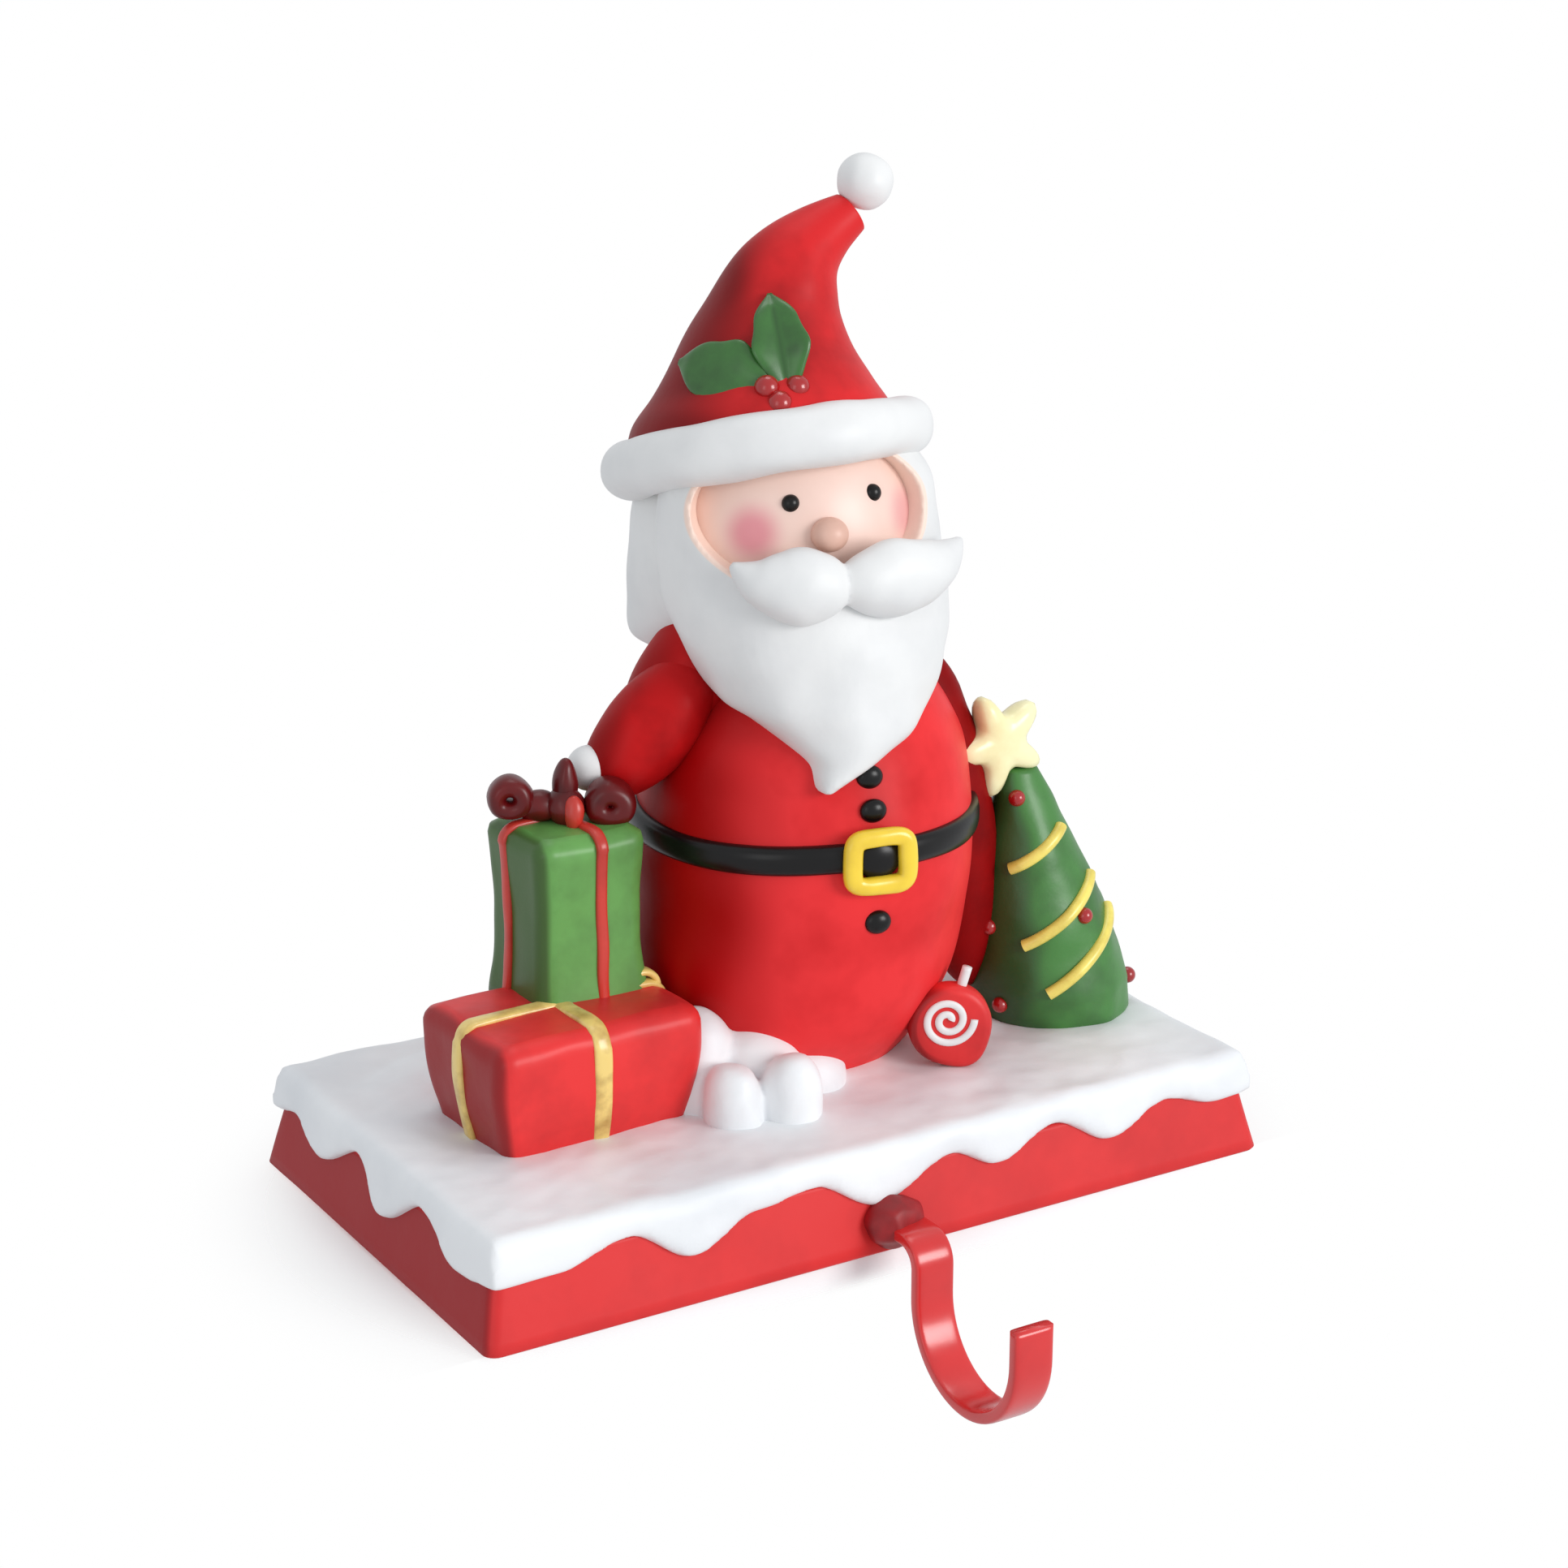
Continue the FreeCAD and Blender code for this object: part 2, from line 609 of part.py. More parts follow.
def rounded_rectangle(length, depth, radius, height):
    """A rectangle with round corners, lying flat at a height."""
    x, y = length / 2 - radius, depth / 2 - radius
    reach = radius * math.sqrt(0.5)
    edges = []
    for x_side, y_side, turn in ((1, -1, 0), (1, 1, 1), (-1, 1, 2), (-1, -1, 3)):
        centre = Vector(x_side * x, y_side * y, height)
        around = Rotation(Vector(0, 0, 1), 90 * turn)
        start = centre + around.multVec(Vector(0, -radius, 0))
        middle = centre + around.multVec(Vector(reach, -reach, 0))
        end = centre + around.multVec(Vector(radius, 0, 0))
        edges.append((start, middle, end))
    wire = []
    for corner, following in zip(edges, edges[1:] + edges[:1]):
        wire.append(Part.Arc(*corner).toShape())
        wire.append(Part.LineSegment(corner[2], following[0]).toShape())
    return Part.Wire(wire)


def wrapped_box(length, depth, height, waist, grow=0):
    """A soft box that is drawn in or swells at its middle, grown on its sides and top."""
    radius = size("gift_roundness")
    rings = ((0, -0.5 * radius, 0), (0.08, 0, 0), (0.5, -waist, 0), (0.92, 0, 0), (1, -0.5 * radius, 0))
    sections = []
    for share, swell, lift in rings:
        spread = 2 * (swell + grow)
        sections.append(rounded_rectangle(length + spread, depth + spread, radius + grow,
                                          share * (height + grow)))
    return Part.makeLoft(sections, True, False)


def gift(label, length, depth, height, waist, ribbon):
    """A gift box crossed by two raised ribbons."""
    box = wrapped_box(length, depth, height, waist)
    shell = wrapped_box(length, depth, height, waist, size("ribbon_stand"))
    reach = length + depth
    bands = [
        Part.makeBox(ribbon, reach, 2 * height, Vector(-ribbon / 2, -reach / 2, 0)),
        Part.makeBox(reach, ribbon, 2 * height, Vector(-reach / 2, -ribbon / 2, 0)),
    ]
    return [shaped(label, box)] + [
        shaped(f"{label}Ribbon{number}", shell.common(band)) for number, band in enumerate(bands, start=1)
    ]


def gifts():
    """The lower gift on the snow and the upper gift with its bow on top of it."""
    lower = fuse("LowerGift", gift("LowerBox", size("low_gift_length"), size("low_gift_depth"),
                                   size("low_gift_height"), -size("low_gift_swell"), size("ribbon_width")))
    seat(lower, "low_gift_x", "low_gift_y", SNOW_TOP + " - gift_sink", (0, 0, 1), "low_gift_turn")
    upper = fuse("UpperGift", gift("UpperBox", size("top_gift_side"), size("top_gift_side"),
                                   size("top_gift_height"), size("top_gift_waist"),
                                   size("top_ribbon_width")) + bow())
    seat(upper, "top_gift_x", "top_gift_y", SNOW_TOP + " - gift_sink + low_gift_height - gift_sink / 3",
         (0, 0, 1), "top_gift_turn")
    return [lower, upper]


def bow():
    """The bow: two round loops, a knot between them and a short loop above."""
    top = "top_gift_height + bow_radius * 0.7"
    pieces = []
    for side, name in ((-1, "RightLoop"), (1, "LeftLoop")):
        loop = primitive("Cylinder", name + "Outer", Radius="bow_radius", Height="bow_width")
        hole = primitive("Cylinder", name + "Hole", Radius="bow_hole", Height="bow_width")
        for piece in (loop, hole):
            seat(piece, f"bow_reach * {side}", "bow_width / 2", top, (1, 0, 0), "90")
        pieces.append(cut(name, loop, hole))
    knot = primitive("Sphere", "Knot", Radius="knot_radius")
    tuft = primitive("Ellipsoid", "KnotTuft", Radius1="knot_radius * 1.3", Radius2="knot_radius * 0.6",
                     Radius3="knot_radius * 0.6")
    return pieces + [seat(knot, z="top_gift_height + knot_radius * 0.6"),
                     seat(tuft, z="top_gift_height + knot_radius * 1.6")]


def tree_ring(share, grow=0):
    """Centre and radius of the tree at a share of its height."""
    shares = ((-0.05, 0.93), (0.13, 1), (0.45, 0.8), (0.78, 0.48),
              (1, size("tree_top_radius") / size("tree_radius")))
    for (low, narrow), (high, wide) in zip(shares, shares[1:]):
        if low <= share <= high:
            radius = narrow + (wide - narrow) * (share - low) / (high - low)
            break
    centre = Vector(size("tree_lean") * share, 0, size("tree_height") * share)
    return centre, radius * size("tree_radius") + grow


def tree():
    """The leaning tree with three slanting garlands, baubles and a fat star on its tip."""
    levels = (-0.05, 0.13, 0.45, 0.78, 1)
    body = blend("TreeBody", [oval(centre, radius, radius) for centre, radius in map(tree_ring, levels)])
    grown = Part.makeLoft([oval(centre, radius, radius) for centre, radius in
                           (tree_ring(level, size("garland_stand")) for level in levels)], True, False)
    pieces = [body]
    slope = Rotation(Vector(0, 1, 0), -size("garland_slope"))
    width, reach = size("garland_width"), 3 * size("tree_radius")
    # Sideways start in radii and height as a share of the tree's.
    for number, (start, share) in enumerate(((-0.83, 0.63), (-0.73, 0.34), (-0.54, 0.155)), start=1):
        band = Part.makeBox(reach, 2 * reach, width, Vector(0, -reach, -width / 2))
        centre, radius = tree_ring(share)
        band.Placement = FreeCAD.Placement(Vector(start * radius, 0, centre.z), slope)
        pieces.append(shaped(f"Garland{number}", grown.common(band)))
    # Direction round the tree in degrees and height as a share of the tree's.
    for number, (turn, share) in enumerate(((-115, 0.9), (-80, 0.42), (-155, 0.45), (-150, 0.1),
                                            (-30, 0.25), (60, 0.5), (120, 0.2)), start=1):
        centre, radius = tree_ring(share)
        bauble = primitive("Sphere", f"Bauble{number}", Radius="bauble_radius")
        around = Vector(math.cos(math.radians(turn)), math.sin(math.radians(turn)), 0)
        bauble.Placement.Base = centre + around * radius
        pieces.append(bauble)
    pieces.append(star())
    joined = fuse("Tree", pieces)
    return [seat(joined, "tree_x", "tree_y", SNOW_TOP)]


def star():
    """A fat five-pointed star that stands on the tree's tip, facing forward."""
    points = []
    for step in range(10):
        radius = size("star_radius") if step % 2 == 0 else size("star_waist")
        angle = math.radians(90 + 36 * step + size("star_roll"))
        points.append(Vector(radius * math.cos(angle), 0, radius * math.sin(angle)))
    outline = Part.Face(Part.makePolygon(points + points[:1]))
    solid = outline.extrude(Vector(0, size("star_thickness"), 0))
    tip = solid.makeFillet(size("star_thickness") / 8, solid.Edges)
    tip.Placement = FreeCAD.Placement(
        Vector(size("tree_lean") - size("star_shift"), -size("star_thickness") / 2,
               size("tree_height") + size("star_radius") - size("star_sink")), Rotation())
    return shaped("Star", tip)


def lollipop():
    """A round sweet with a raised swirl, standing on its edge, and the stick behind it."""
    radius, thickness = size("sweet_radius"), size("sweet_thickness")
    disc = Part.makeCylinder(radius, thickness)
    rims = [edge for edge in disc.Edges if isinstance(edge.Curve, Part.Circle)]
    disc = disc.makeFillet(thickness / 4, rims)
    half, turns = size("swirl_width") / 2, size("swirl_turns")
    steps = int(turns * 12)
    flat = radius - thickness / 4
    start = 1.3 * half
    grow = (flat - 2 * half - start) / steps

    def spiral(offset):
        points = []
        for step in range(steps + 1):
            angle = 2 * math.pi * turns * step / steps
            reach = start + grow * step + offset
            points.append(Vector(reach * math.cos(angle), reach * math.sin(angle), 0))
        curve = Part.BSplineCurve()
        curve.interpolate(points)
        return curve.toShape()

    inner, outer = spiral(-half), spiral(half)
    start_cap = Part.LineSegment(inner.Vertexes[0].Point, outer.Vertexes[0].Point).toShape()
    end_cap = Part.LineSegment(inner.Vertexes[-1].Point, outer.Vertexes[-1].Point).toShape()
    ridge = Part.Face(Part.Wire(Part.sortEdges([inner, outer, start_cap, end_cap])[0]))
    ridge = ridge.extrude(Vector(0, 0, size("swirl_stand") * 2))
    ridge.translate(Vector(0, 0, thickness - size("swirl_stand")))
    sweet = disc.fuse(ridge)
    sweet.Placement = FreeCAD.Placement(Vector(0, thickness / 2, 0), Rotation(Vector(1, 0, 0), 90))
    stick = primitive("Cylinder", "Stick", Radius="stick_radius", Height="stick_length")
    seat(stick, "sweet_radius / 7", "0", "sweet_radius * 0.4", (0, 1, 0), "stick_lean")
    joined = fuse("Lollipop", [shaped("Sweet", sweet), stick])
    return [seat(joined, "sweet_x", "sweet_y", SNOW_TOP + " + sweet_lift", (0, 0, 1), "sweet_turn")]


def snow_heaps():
    """Soft heaps of snow against the coat, in front of the figure's right side."""
    # Centre, half sizes and height above the snow.
    heaps = (("HeapRight", -17, -18, 6.6, 9, 16), ("HeapFront", -4.5, -20.5, 6.4, 9, 13.5),
             ("HeapBehind", -8, -1, 20, 16, 6.5))
    pieces = []
    for label, x, y, half_x, half_y, height in heaps:
        heap = primitive("Ellipsoid", label, Radius1=f"{height}", Radius2=f"{half_x}", Radius3=f"{half_y}")
        pieces.append(seat(heap, f"{x}", f"{y}", SNOW_TOP))
    return pieces


def figure():
    """The seated figure, turned a little to its right."""
    joined = fuse("Figure", coat() + sleeves() + head() + hat())
    return seat(joined, "figure_x", "figure_y", SNOW_TOP, (0, 0, 1), "figure_turn")


def stocking_hook():
    """The hook: a strip bent down in front of the shelf's edge and up again in a wide round."""
    body = doc.addObject("PartDesign::Body", "stocking_hook")
    path = sketch_on(body, "HookPath", "YZ_Plane")
    run = size("tang_seat") + size("tang_reach")
    bend, drop, radius, rise = (size(alias) for alias in
                                ("bend_radius", "hook_drop", "hook_radius", "tip_rise"))
    front = -run - bend
    far = front - 2 * radius
    level = -bend - drop
    quarter, half = math.pi / 2, math.pi
    path.addGeometry(Part.LineSegment(Vector(0, 0), Vector(-run, 0)), False)
    path.addGeometry(Part.ArcOfCircle(Part.Circle(Vector(-run, -bend), Vector(0, 0, 1), bend),
                                      quarter, half), False)
    path.addGeometry(Part.LineSegment(Vector(front, -bend), Vector(front, level)), False)
    path.addGeometry(Part.ArcOfCircle(Part.Circle(Vector(front - radius, level), Vector(0, 0, 1), radius),
                                      half, 2 * half), False)
    path.addGeometry(Part.LineSegment(Vector(far, level), Vector(far, level + rise)), False)
    constraint = Sketcher.Constraint
    for name, item, formula_text in (
        ("", constraint("Coincident", 0, 1, -1, 1), ""),
        ("", constraint("Horizontal", 0), ""),
        ("", constraint("Tangent", 0, 2, 1, 1), ""),
        ("", constraint("Tangent", 1, 2, 2, 1), ""),
        ("", constraint("Vertical", 2), ""),
        ("", constraint("Tangent", 2, 2, 3, 2), ""),
        ("", constraint("Tangent", 3, 1, 4, 1), ""),
        ("", constraint("Vertical", 4), ""),
        ("Run", constraint("DistanceX", 0, 2, 0, 1, run), "tang_seat + tang_reach"),
        ("Bend", constraint("Radius", 1, bend), "bend_radius"),
        ("Drop", constraint("DistanceY", 2, 2, 2, 1, drop), "hook_drop"),
        ("Round", constraint("Radius", 3, radius), "hook_radius"),
        ("Rise", constraint("DistanceY", 4, 1, 4, 2, rise), "tip_rise"),
    ):
        index = path.addConstraint(item)
        if name:
            path.renameConstraint(index, name)
            bind(path, **{"Constraints." + name: formula_text})
    section = sketch_on(body, "StripSection", "XZ_Plane")
    centred_rectangle(section, "strip_width", "strip_thickness")
    strip = body.newObject("PartDesign::AdditivePipe", "BentStrip")
    strip.Profile = section
    strip.Spine = (path, [f"Edge{number}" for number in range(1, 6)])
    doc.recompute()
    rounding = body.newObject("PartDesign::Fillet", "TipCorners")
    far_edge = far - size("strip_thickness")
    tip = [f"Edge{number}" for number, edge in enumerate(strip.Shape.Edges, start=1)
           if edge.BoundBox.ZMin > level + rise / 2 and edge.BoundBox.YMax < front - radius
           and edge.BoundBox.XLength < size("strip_width") / 2 and edge.BoundBox.ZLength < rise / 2]
    rounding.Base = (strip, tip)
    bind(rounding, Radius="tip_corner")
    return seat(body, y="tang_seat - slab_depth / 2", z="tang_height")


def felt_pad():
    """A felt sheet with round corners, bonded in the recess and a little proud of the slab's foot."""
    body = doc.addObject("PartDesign::Body", "felt_pad")
    outline = sketch_on(body, "PadOutline", "XY_Plane")
    centred_rectangle(outline, "slab_length - 2 * pad_margin", "slab_depth - 2 * pad_margin")
    sheet_pad = body.newObject("PartDesign::Pad", "PadSheet")
    sheet_pad.Profile = outline
    bind(sheet_pad, Length="pad_thickness")
    doc.recompute()
    rounding = body.newObject("PartDesign::Fillet", "PadCorners")
    rounding.Base = (sheet_pad, upright_edges(sheet_pad.Shape))
    bind(rounding, Radius="pad_corner")
    return body


def foot():
    """The slab with its snow and the collar, less the hook's socket and the pad's recess."""
    snowy = fuse("SnowySlab", [slab(), snow_blanket()])
    body = fuse("SlabAndCollar", [snowy, socket_collar()])
    socket = primitive("Box", "HookSocket", Length="strip_width + 2 * socket_clearance",
                       Width="tang_seat + tang_reach + collar_reach",
                       Height="strip_thickness + 2 * socket_clearance")
    seat(socket, "-strip_width / 2 - socket_clearance", "-slab_depth / 2 - tang_reach - collar_reach",
         "tang_height - strip_thickness / 2 - socket_clearance")
    recess = primitive("Box", "PadRecess", Length="slab_length - 2 * pad_margin + 2 * pad_clearance",
                       Width="slab_depth - 2 * pad_margin + 2 * pad_clearance", Height="pad_thickness")
    seat(recess, "pad_margin - pad_clearance - slab_length / 2",
         "pad_margin - pad_clearance - slab_depth / 2", "0")
    doc.recompute()
    rounded = doc.addObject("Part::Fillet", "RecessCorners")
    rounded.Base = recess
    radius = size("pad_corner") + size("pad_clearance")
    rounded.Edges = [
        (number, radius, radius)
        for number, edge in enumerate(recess.Shape.Edges, start=1)
        if edge.BoundBox.ZLength > size("pad_thickness") / 2
    ]
    return cut("Foot", cut("Socketed", body, socket), rounded)


def figure_casting():
    """Everything that comes out of the one mould."""
    return fuse("figure_casting", [foot()] + drifts() + snow_heaps() + [figure()] + gifts() + tree()
                + lollipop())


pieces = [figure_casting(), stocking_hook(), felt_pad()]
doc.recompute()
for item in doc.Objects:
    if "Invalid" in item.State or "Error" in item.State:
        raise SystemExit(f"{item.Label} did not build: {item.State}")
for piece in pieces:
    if piece.Shape.isNull() or not piece.Shape.isValid() or len(piece.Shape.Solids) != 1:
        raise SystemExit(f"{piece.Label} is not one sound solid")
os.makedirs("parts", exist_ok=True)
for piece in pieces:
    piece.Shape.exportStep(f"parts/{piece.Label}.step")
    print(piece.Label, round(piece.Shape.Volume), piece.Shape.BoundBox)
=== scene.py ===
import math

import bmesh
import bpy
from mathutils import Matrix, Vector, noise


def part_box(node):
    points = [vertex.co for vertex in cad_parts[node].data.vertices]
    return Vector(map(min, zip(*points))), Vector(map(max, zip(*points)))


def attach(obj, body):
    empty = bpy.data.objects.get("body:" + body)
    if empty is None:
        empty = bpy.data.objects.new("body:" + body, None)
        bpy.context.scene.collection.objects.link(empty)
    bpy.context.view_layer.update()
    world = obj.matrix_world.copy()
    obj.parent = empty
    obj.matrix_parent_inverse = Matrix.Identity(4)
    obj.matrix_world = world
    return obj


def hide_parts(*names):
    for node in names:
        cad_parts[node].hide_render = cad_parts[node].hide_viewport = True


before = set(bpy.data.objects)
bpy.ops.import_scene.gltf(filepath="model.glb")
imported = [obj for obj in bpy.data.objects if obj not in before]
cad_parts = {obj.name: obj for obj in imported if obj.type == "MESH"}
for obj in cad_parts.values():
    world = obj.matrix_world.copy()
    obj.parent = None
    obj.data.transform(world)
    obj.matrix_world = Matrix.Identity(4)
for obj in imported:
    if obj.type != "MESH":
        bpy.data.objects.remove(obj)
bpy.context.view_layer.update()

scene = bpy.context.scene
low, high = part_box("figure_casting")

# The photo's view: a camera 0.6 m from the holder, 31.4 degrees round towards its right side
# and 18 degrees above the shelf. The image is taken as 1932 x 1932 pixels, and a focal length
# of 4000 of them fits the slab's corners.
camera_turn = math.radians(31.41)
camera_rise = math.radians(18.01)
camera_aim = Vector((0.0044, 0, 0.074))
camera_distance = 0.5993
image_pixels = 1932
focal_pixels = 4000
forward = Vector((math.sin(camera_turn) * math.cos(camera_rise),
                  math.cos(camera_turn) * math.cos(camera_rise), -math.sin(camera_rise)))
lens = bpy.data.cameras.new("PhotoLens")
lens.sensor_width = 36
lens.sensor_fit = "HORIZONTAL"
lens.lens = lens.sensor_width * focal_pixels / image_pixels
lens.clip_start = 0.01
camera = bpy.data.objects.new("PhotoCamera", lens)
camera.location = camera_aim - forward * camera_distance
camera.rotation_euler = forward.to_track_quat("-Z", "Y").to_euler()
scene.collection.objects.link(camera)
scene.camera = camera
scene.view_settings.view_transform = "Standard"

# The studio: a white sweep all round, lit by a big soft box from the front right and above,
# a weaker one from the left and a small one overhead. The sweep shows pure white to the camera,
# and lights the holder with a cooler and weaker fill.
fill_colour = (0.93, 0.96, 1, 1)
fill_strength = 0.72
mirrored_share = 0.12


def add_node(tree, kind, sockets=(), **attributes):
    """A node with its attributes set, and each of its listed sockets given a value or a link."""
    node = tree.nodes.new(kind)
    for name, value in attributes.items():
        setattr(node, name, value)
    for name, value in dict(sockets).items():
        if isinstance(value, bpy.types.NodeSocket):
            tree.links.new(value, node.inputs[name])
        else:
            node.inputs[name].default_value = value
    return node


def reckon(tree, operation, *values):
    """The result of a sum of values or links in a node tree."""
    return add_node(tree, "ShaderNodeMath", dict(enumerate(values)), operation=operation).outputs[0]


world = bpy.data.worlds.new("Studio")
scene.world = world
world.use_nodes = True
tree = world.node_tree
tree.nodes.clear()
rays = add_node(tree, "ShaderNodeLightPath")
seen = add_node(tree, "ShaderNodeBackground", {"Color": (1, 1, 1, 1), "Strength": 1})
fill = add_node(tree, "ShaderNodeBackground", {"Color": fill_colour, "Strength": fill_strength})
mirrored = reckon(tree, "MULTIPLY", rays.outputs["Is Glossy Ray"], mirrored_share)
either = reckon(tree, "MAXIMUM", rays.outputs["Is Camera Ray"], mirrored)
choice = add_node(tree, "ShaderNodeMixShader", {0: either, 1: fill.outputs[0], 2: seen.outputs[0]})
add_node(tree, "ShaderNodeOutputWorld", {"Surface": choice.outputs[0]})


def soft_box(name, place, aim, width, height, power):
    """A soft box that points from its place at an aim, in metres and watts."""
    light = bpy.data.lights.new(name, "AREA")
    light.shape = "RECTANGLE"
    light.size = width
    light.size_y = height
    light.energy = power
    lamp = bpy.data.objects.new(name, light)
    lamp.location = place
    lamp.rotation_euler = (Vector(aim) - Vector(place)).to_track_quat("-Z", "Y").to_euler()
    scene.collection.objects.link(lamp)


soft_box("KeyBox", (0.5, -1.05, 0.42), (0, 0, 0.08), 0.5, 0.5, 7.5)
soft_box("LeftBox", (-0.9, -0.6, 0.35), (0, 0, 0.08), 0.4, 0.6, 0.8)
soft_box("TopBox", (0.2, 0.2, 0.95), (0, 0, 0.1), 0.4, 0.4, 1)

# The shelf that the holder stands on: a pale painted board, whose front edge is just behind
# the slab's, so that the hook hangs free in front of it as on a mantel. Away from the holder
# the board melts into the white sweep.
mm = 0.001
shelf_front = low.y + 7.5 * mm
shelf_half_length = 900 * mm
shelf_back = 1200 * mm
shelf_drop = 400 * mm
melt_start = 60 * mm
melt_end = 118 * mm
# How much sooner the board melts in depth and in height than along its length.
melt_shape = (1, 1.2, 14)
corners = [(side * shelf_half_length, depth, level) for side, depth, level in (
    (-1, shelf_front, 0), (1, shelf_front, 0), (1, shelf_back, 0), (-1, shelf_back, 0),
    (-1, shelf_front, -shelf_drop), (1, shelf_front, -shelf_drop))]
board = bpy.data.meshes.new("Shelf")
board.from_pydata(corners, [], [(0, 1, 2, 3), (4, 5, 1, 0)])
shelf = bpy.data.objects.new("Shelf", board)
scene.collection.objects.link(shelf)
shelf_paint = bpy.data.materials.new("ShelfPaint")
shelf_paint.use_nodes = True
tree = shelf_paint.node_tree
shader = tree.nodes["Principled BSDF"]
shader.inputs["Base Color"].default_value = (0.93, 0.93, 0.93, 1)
shader.inputs["Roughness"].default_value = 0.85
shader.inputs["Specular IOR Level"].default_value = 0.1
place = add_node(tree, "ShaderNodeTexCoord")
stretch = add_node(tree, "ShaderNodeVectorMath", {0: place.outputs["Object"], 1: melt_shape},
                   operation="MULTIPLY")
away = add_node(tree, "ShaderNodeVectorMath", {0: stretch.outputs["Vector"]}, operation="LENGTH")
fade = add_node(tree, "ShaderNodeMapRange", {"Value": away.outputs["Value"], "From Min": melt_start,
                                             "From Max": melt_end}, interpolation_type="SMOOTHERSTEP")
clear = add_node(tree, "ShaderNodeBsdfTransparent")
melt = add_node(tree, "ShaderNodeMixShader", {0: fade.outputs["Result"], 1: shader.outputs["BSDF"],
                                              2: clear.outputs["BSDF"]})
tree.links.new(melt.outputs["Shader"], tree.nodes["Material Output"].inputs["Surface"])
board.materials.append(shelf_paint)

# The slab: the holder's foot, cast in filled resin and painted bright red. Its sides lean in
# towards the top, its corners are rounded, and the brush left it a little uneven.
slab_length = (high.x - low.x) / mm
slab_depth = slab_length * 95 / 165
slab_height = 15
slab_lean = math.tan(math.radians(13))
pad_proud = 0.5


def linear(red, green, blue):
    """A colour as seen on screen, in the linear values that shaders take."""
    return tuple(((part + 0.055) / 1.055) ** 2.4 for part in (red, green, blue)) + (1,)


def paint(name, colour, mottle_and_shade, gloss=0.35, mottle=0.35, grain=60, recess_shade=0.8, bump=0.12, coat=0.2, shine=0.5,
          sides=0, reach=0.5):
    """Hand-brushed paint: a colour mottled at random with a darker one, painted shade in that darker colour
    where the surface is hollow, and faint brush marks.

    Painted shade in the darker colour also lies on the faces turned towards the holder's right-hand end, as
    strongly as sides says; the lower its reach, the further it goes round an edge.
    """
    made = bpy.data.materials.new(name)
    made.use_nodes = True
    tree = made.node_tree
    place = add_node(tree, "ShaderNodeTexCoord").outputs["Object"]
    clouds = add_node(tree, "ShaderNodeTexNoise", {"Vector": place, "Scale": grain, "Detail": 4,
                                                   "Roughness": 0.55})
    patch = add_node(tree, "ShaderNodeMapRange", {"Value": clouds.outputs["Fac"], "From Min": 0.42,
                                                  "From Max": 0.72, "To Max": mottle})
    relief = add_node(tree, "ShaderNodeNewGeometry")
    # Painted shade: the darker colour gathers where the surface is hollow, as shade does.
    recess_shade_mask = add_node(tree, "ShaderNodeMapRange", {"Value": relief.outputs["Pointiness"], "From Min": 0.495,
                                                   "From Max": 0.43, "To Max": recess_shade})
    amount = reckon(tree, "MAXIMUM", patch.outputs["Result"], recess_shade_mask.outputs["Result"])
    # Painted shade on the faces turned towards the holder's right-hand end.
    if sides:
        facing = add_node(tree, "ShaderNodeVectorMath", {0: relief.outputs["Normal"],
                                                         1: Vector((-1, 0.1, 0)).normalized()},
                          operation="DOT_PRODUCT")
        side_shade_mask = add_node(tree, "ShaderNodeMapRange", {"Value": facing.outputs["Value"], "From Min": reach,
                                                        "From Max": reach + 0.47, "To Max": sides},
                           interpolation_type="SMOOTHSTEP")
        amount = reckon(tree, "MAXIMUM", amount, side_shade_mask.outputs["Result"])
    blend = add_node(tree, "ShaderNodeMix", {"Factor": amount, "A": linear(*colour), "B": linear(*mottle_and_shade)},
                     data_type="RGBA")
    marks = add_node(tree, "ShaderNodeTexNoise", {"Vector": place, "Scale": 260, "Detail": 3})
    lift = add_node(tree, "ShaderNodeBump", {"Height": marks.outputs["Fac"], "Strength": bump,
                                             "Distance": 0.4 * mm})
    shader = tree.nodes["Principled BSDF"]
    tree.links.new(blend.outputs["Result"], shader.inputs["Base Color"])
    tree.links.new(lift.outputs["Normal"], shader.inputs["Normal"])
    for socket, value in (("Roughness", gloss), ("Coat Weight", coat), ("Coat Roughness", 0.25),
                          ("Specular IOR Level", shine)):
        shader.inputs[socket].default_value = value
    return made


def over_colour(finish, factor, colour):
    """Another colour laid over a paint's own, as thickly as a factor in its tree says."""
    tree = finish.node_tree
    shader = tree.nodes["Principled BSDF"]
    under = shader.inputs["Base Color"].links[0].from_socket
    tint = add_node(tree, "ShaderNodeMix", {"Factor": factor, "A": under, "B": linear(*colour)},
                    data_type="RGBA")
    tree.links.new(tint.outputs["Result"], shader.inputs["Base Color"])


def modelled(name, verts, faces, material):
    """A closed piece from corners in millimetres, not yet part of the frame."""
    mesh = bpy.data.meshes.new(name)
    mesh.from_pydata([Vector(vert) * mm for vert in verts], [], faces)
    made = bmesh.new()
    made.from_mesh(mesh)
    bmesh.ops.recalc_face_normals(made, faces=made.faces)
    made.to_mesh(mesh)
    made.free()
    mesh.shade_smooth()
    mesh.materials.append(material)
    piece = bpy.data.objects.new(name, mesh)
    scene.collection.objects.link(piece)
    return piece


def join_frame(piece, node="figure_casting"):
    """A finished piece rides the holder and stands for the node that it belongs to."""
    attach(piece, "root")
    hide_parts(node)
    return piece


def solid(name, rings, material, node="figure_casting", loop=False):
    """A closed piece skinned over rings in millimetres, standing for a node of the frame."""
    return join_frame(modelled(name, *skin_rings(rings, loop), material), node)


def plain_mesh(piece):
    """What the piece's modifiers make of it, kept as its own mesh in their place."""
    bpy.context.view_layer.update()
    ready = piece.evaluated_get(bpy.context.evaluated_depsgraph_get())
    mesh = bpy.data.meshes.new_from_object(ready)
    piece.modifiers.clear()
    piece.data = mesh
    mesh.shade_smooth()


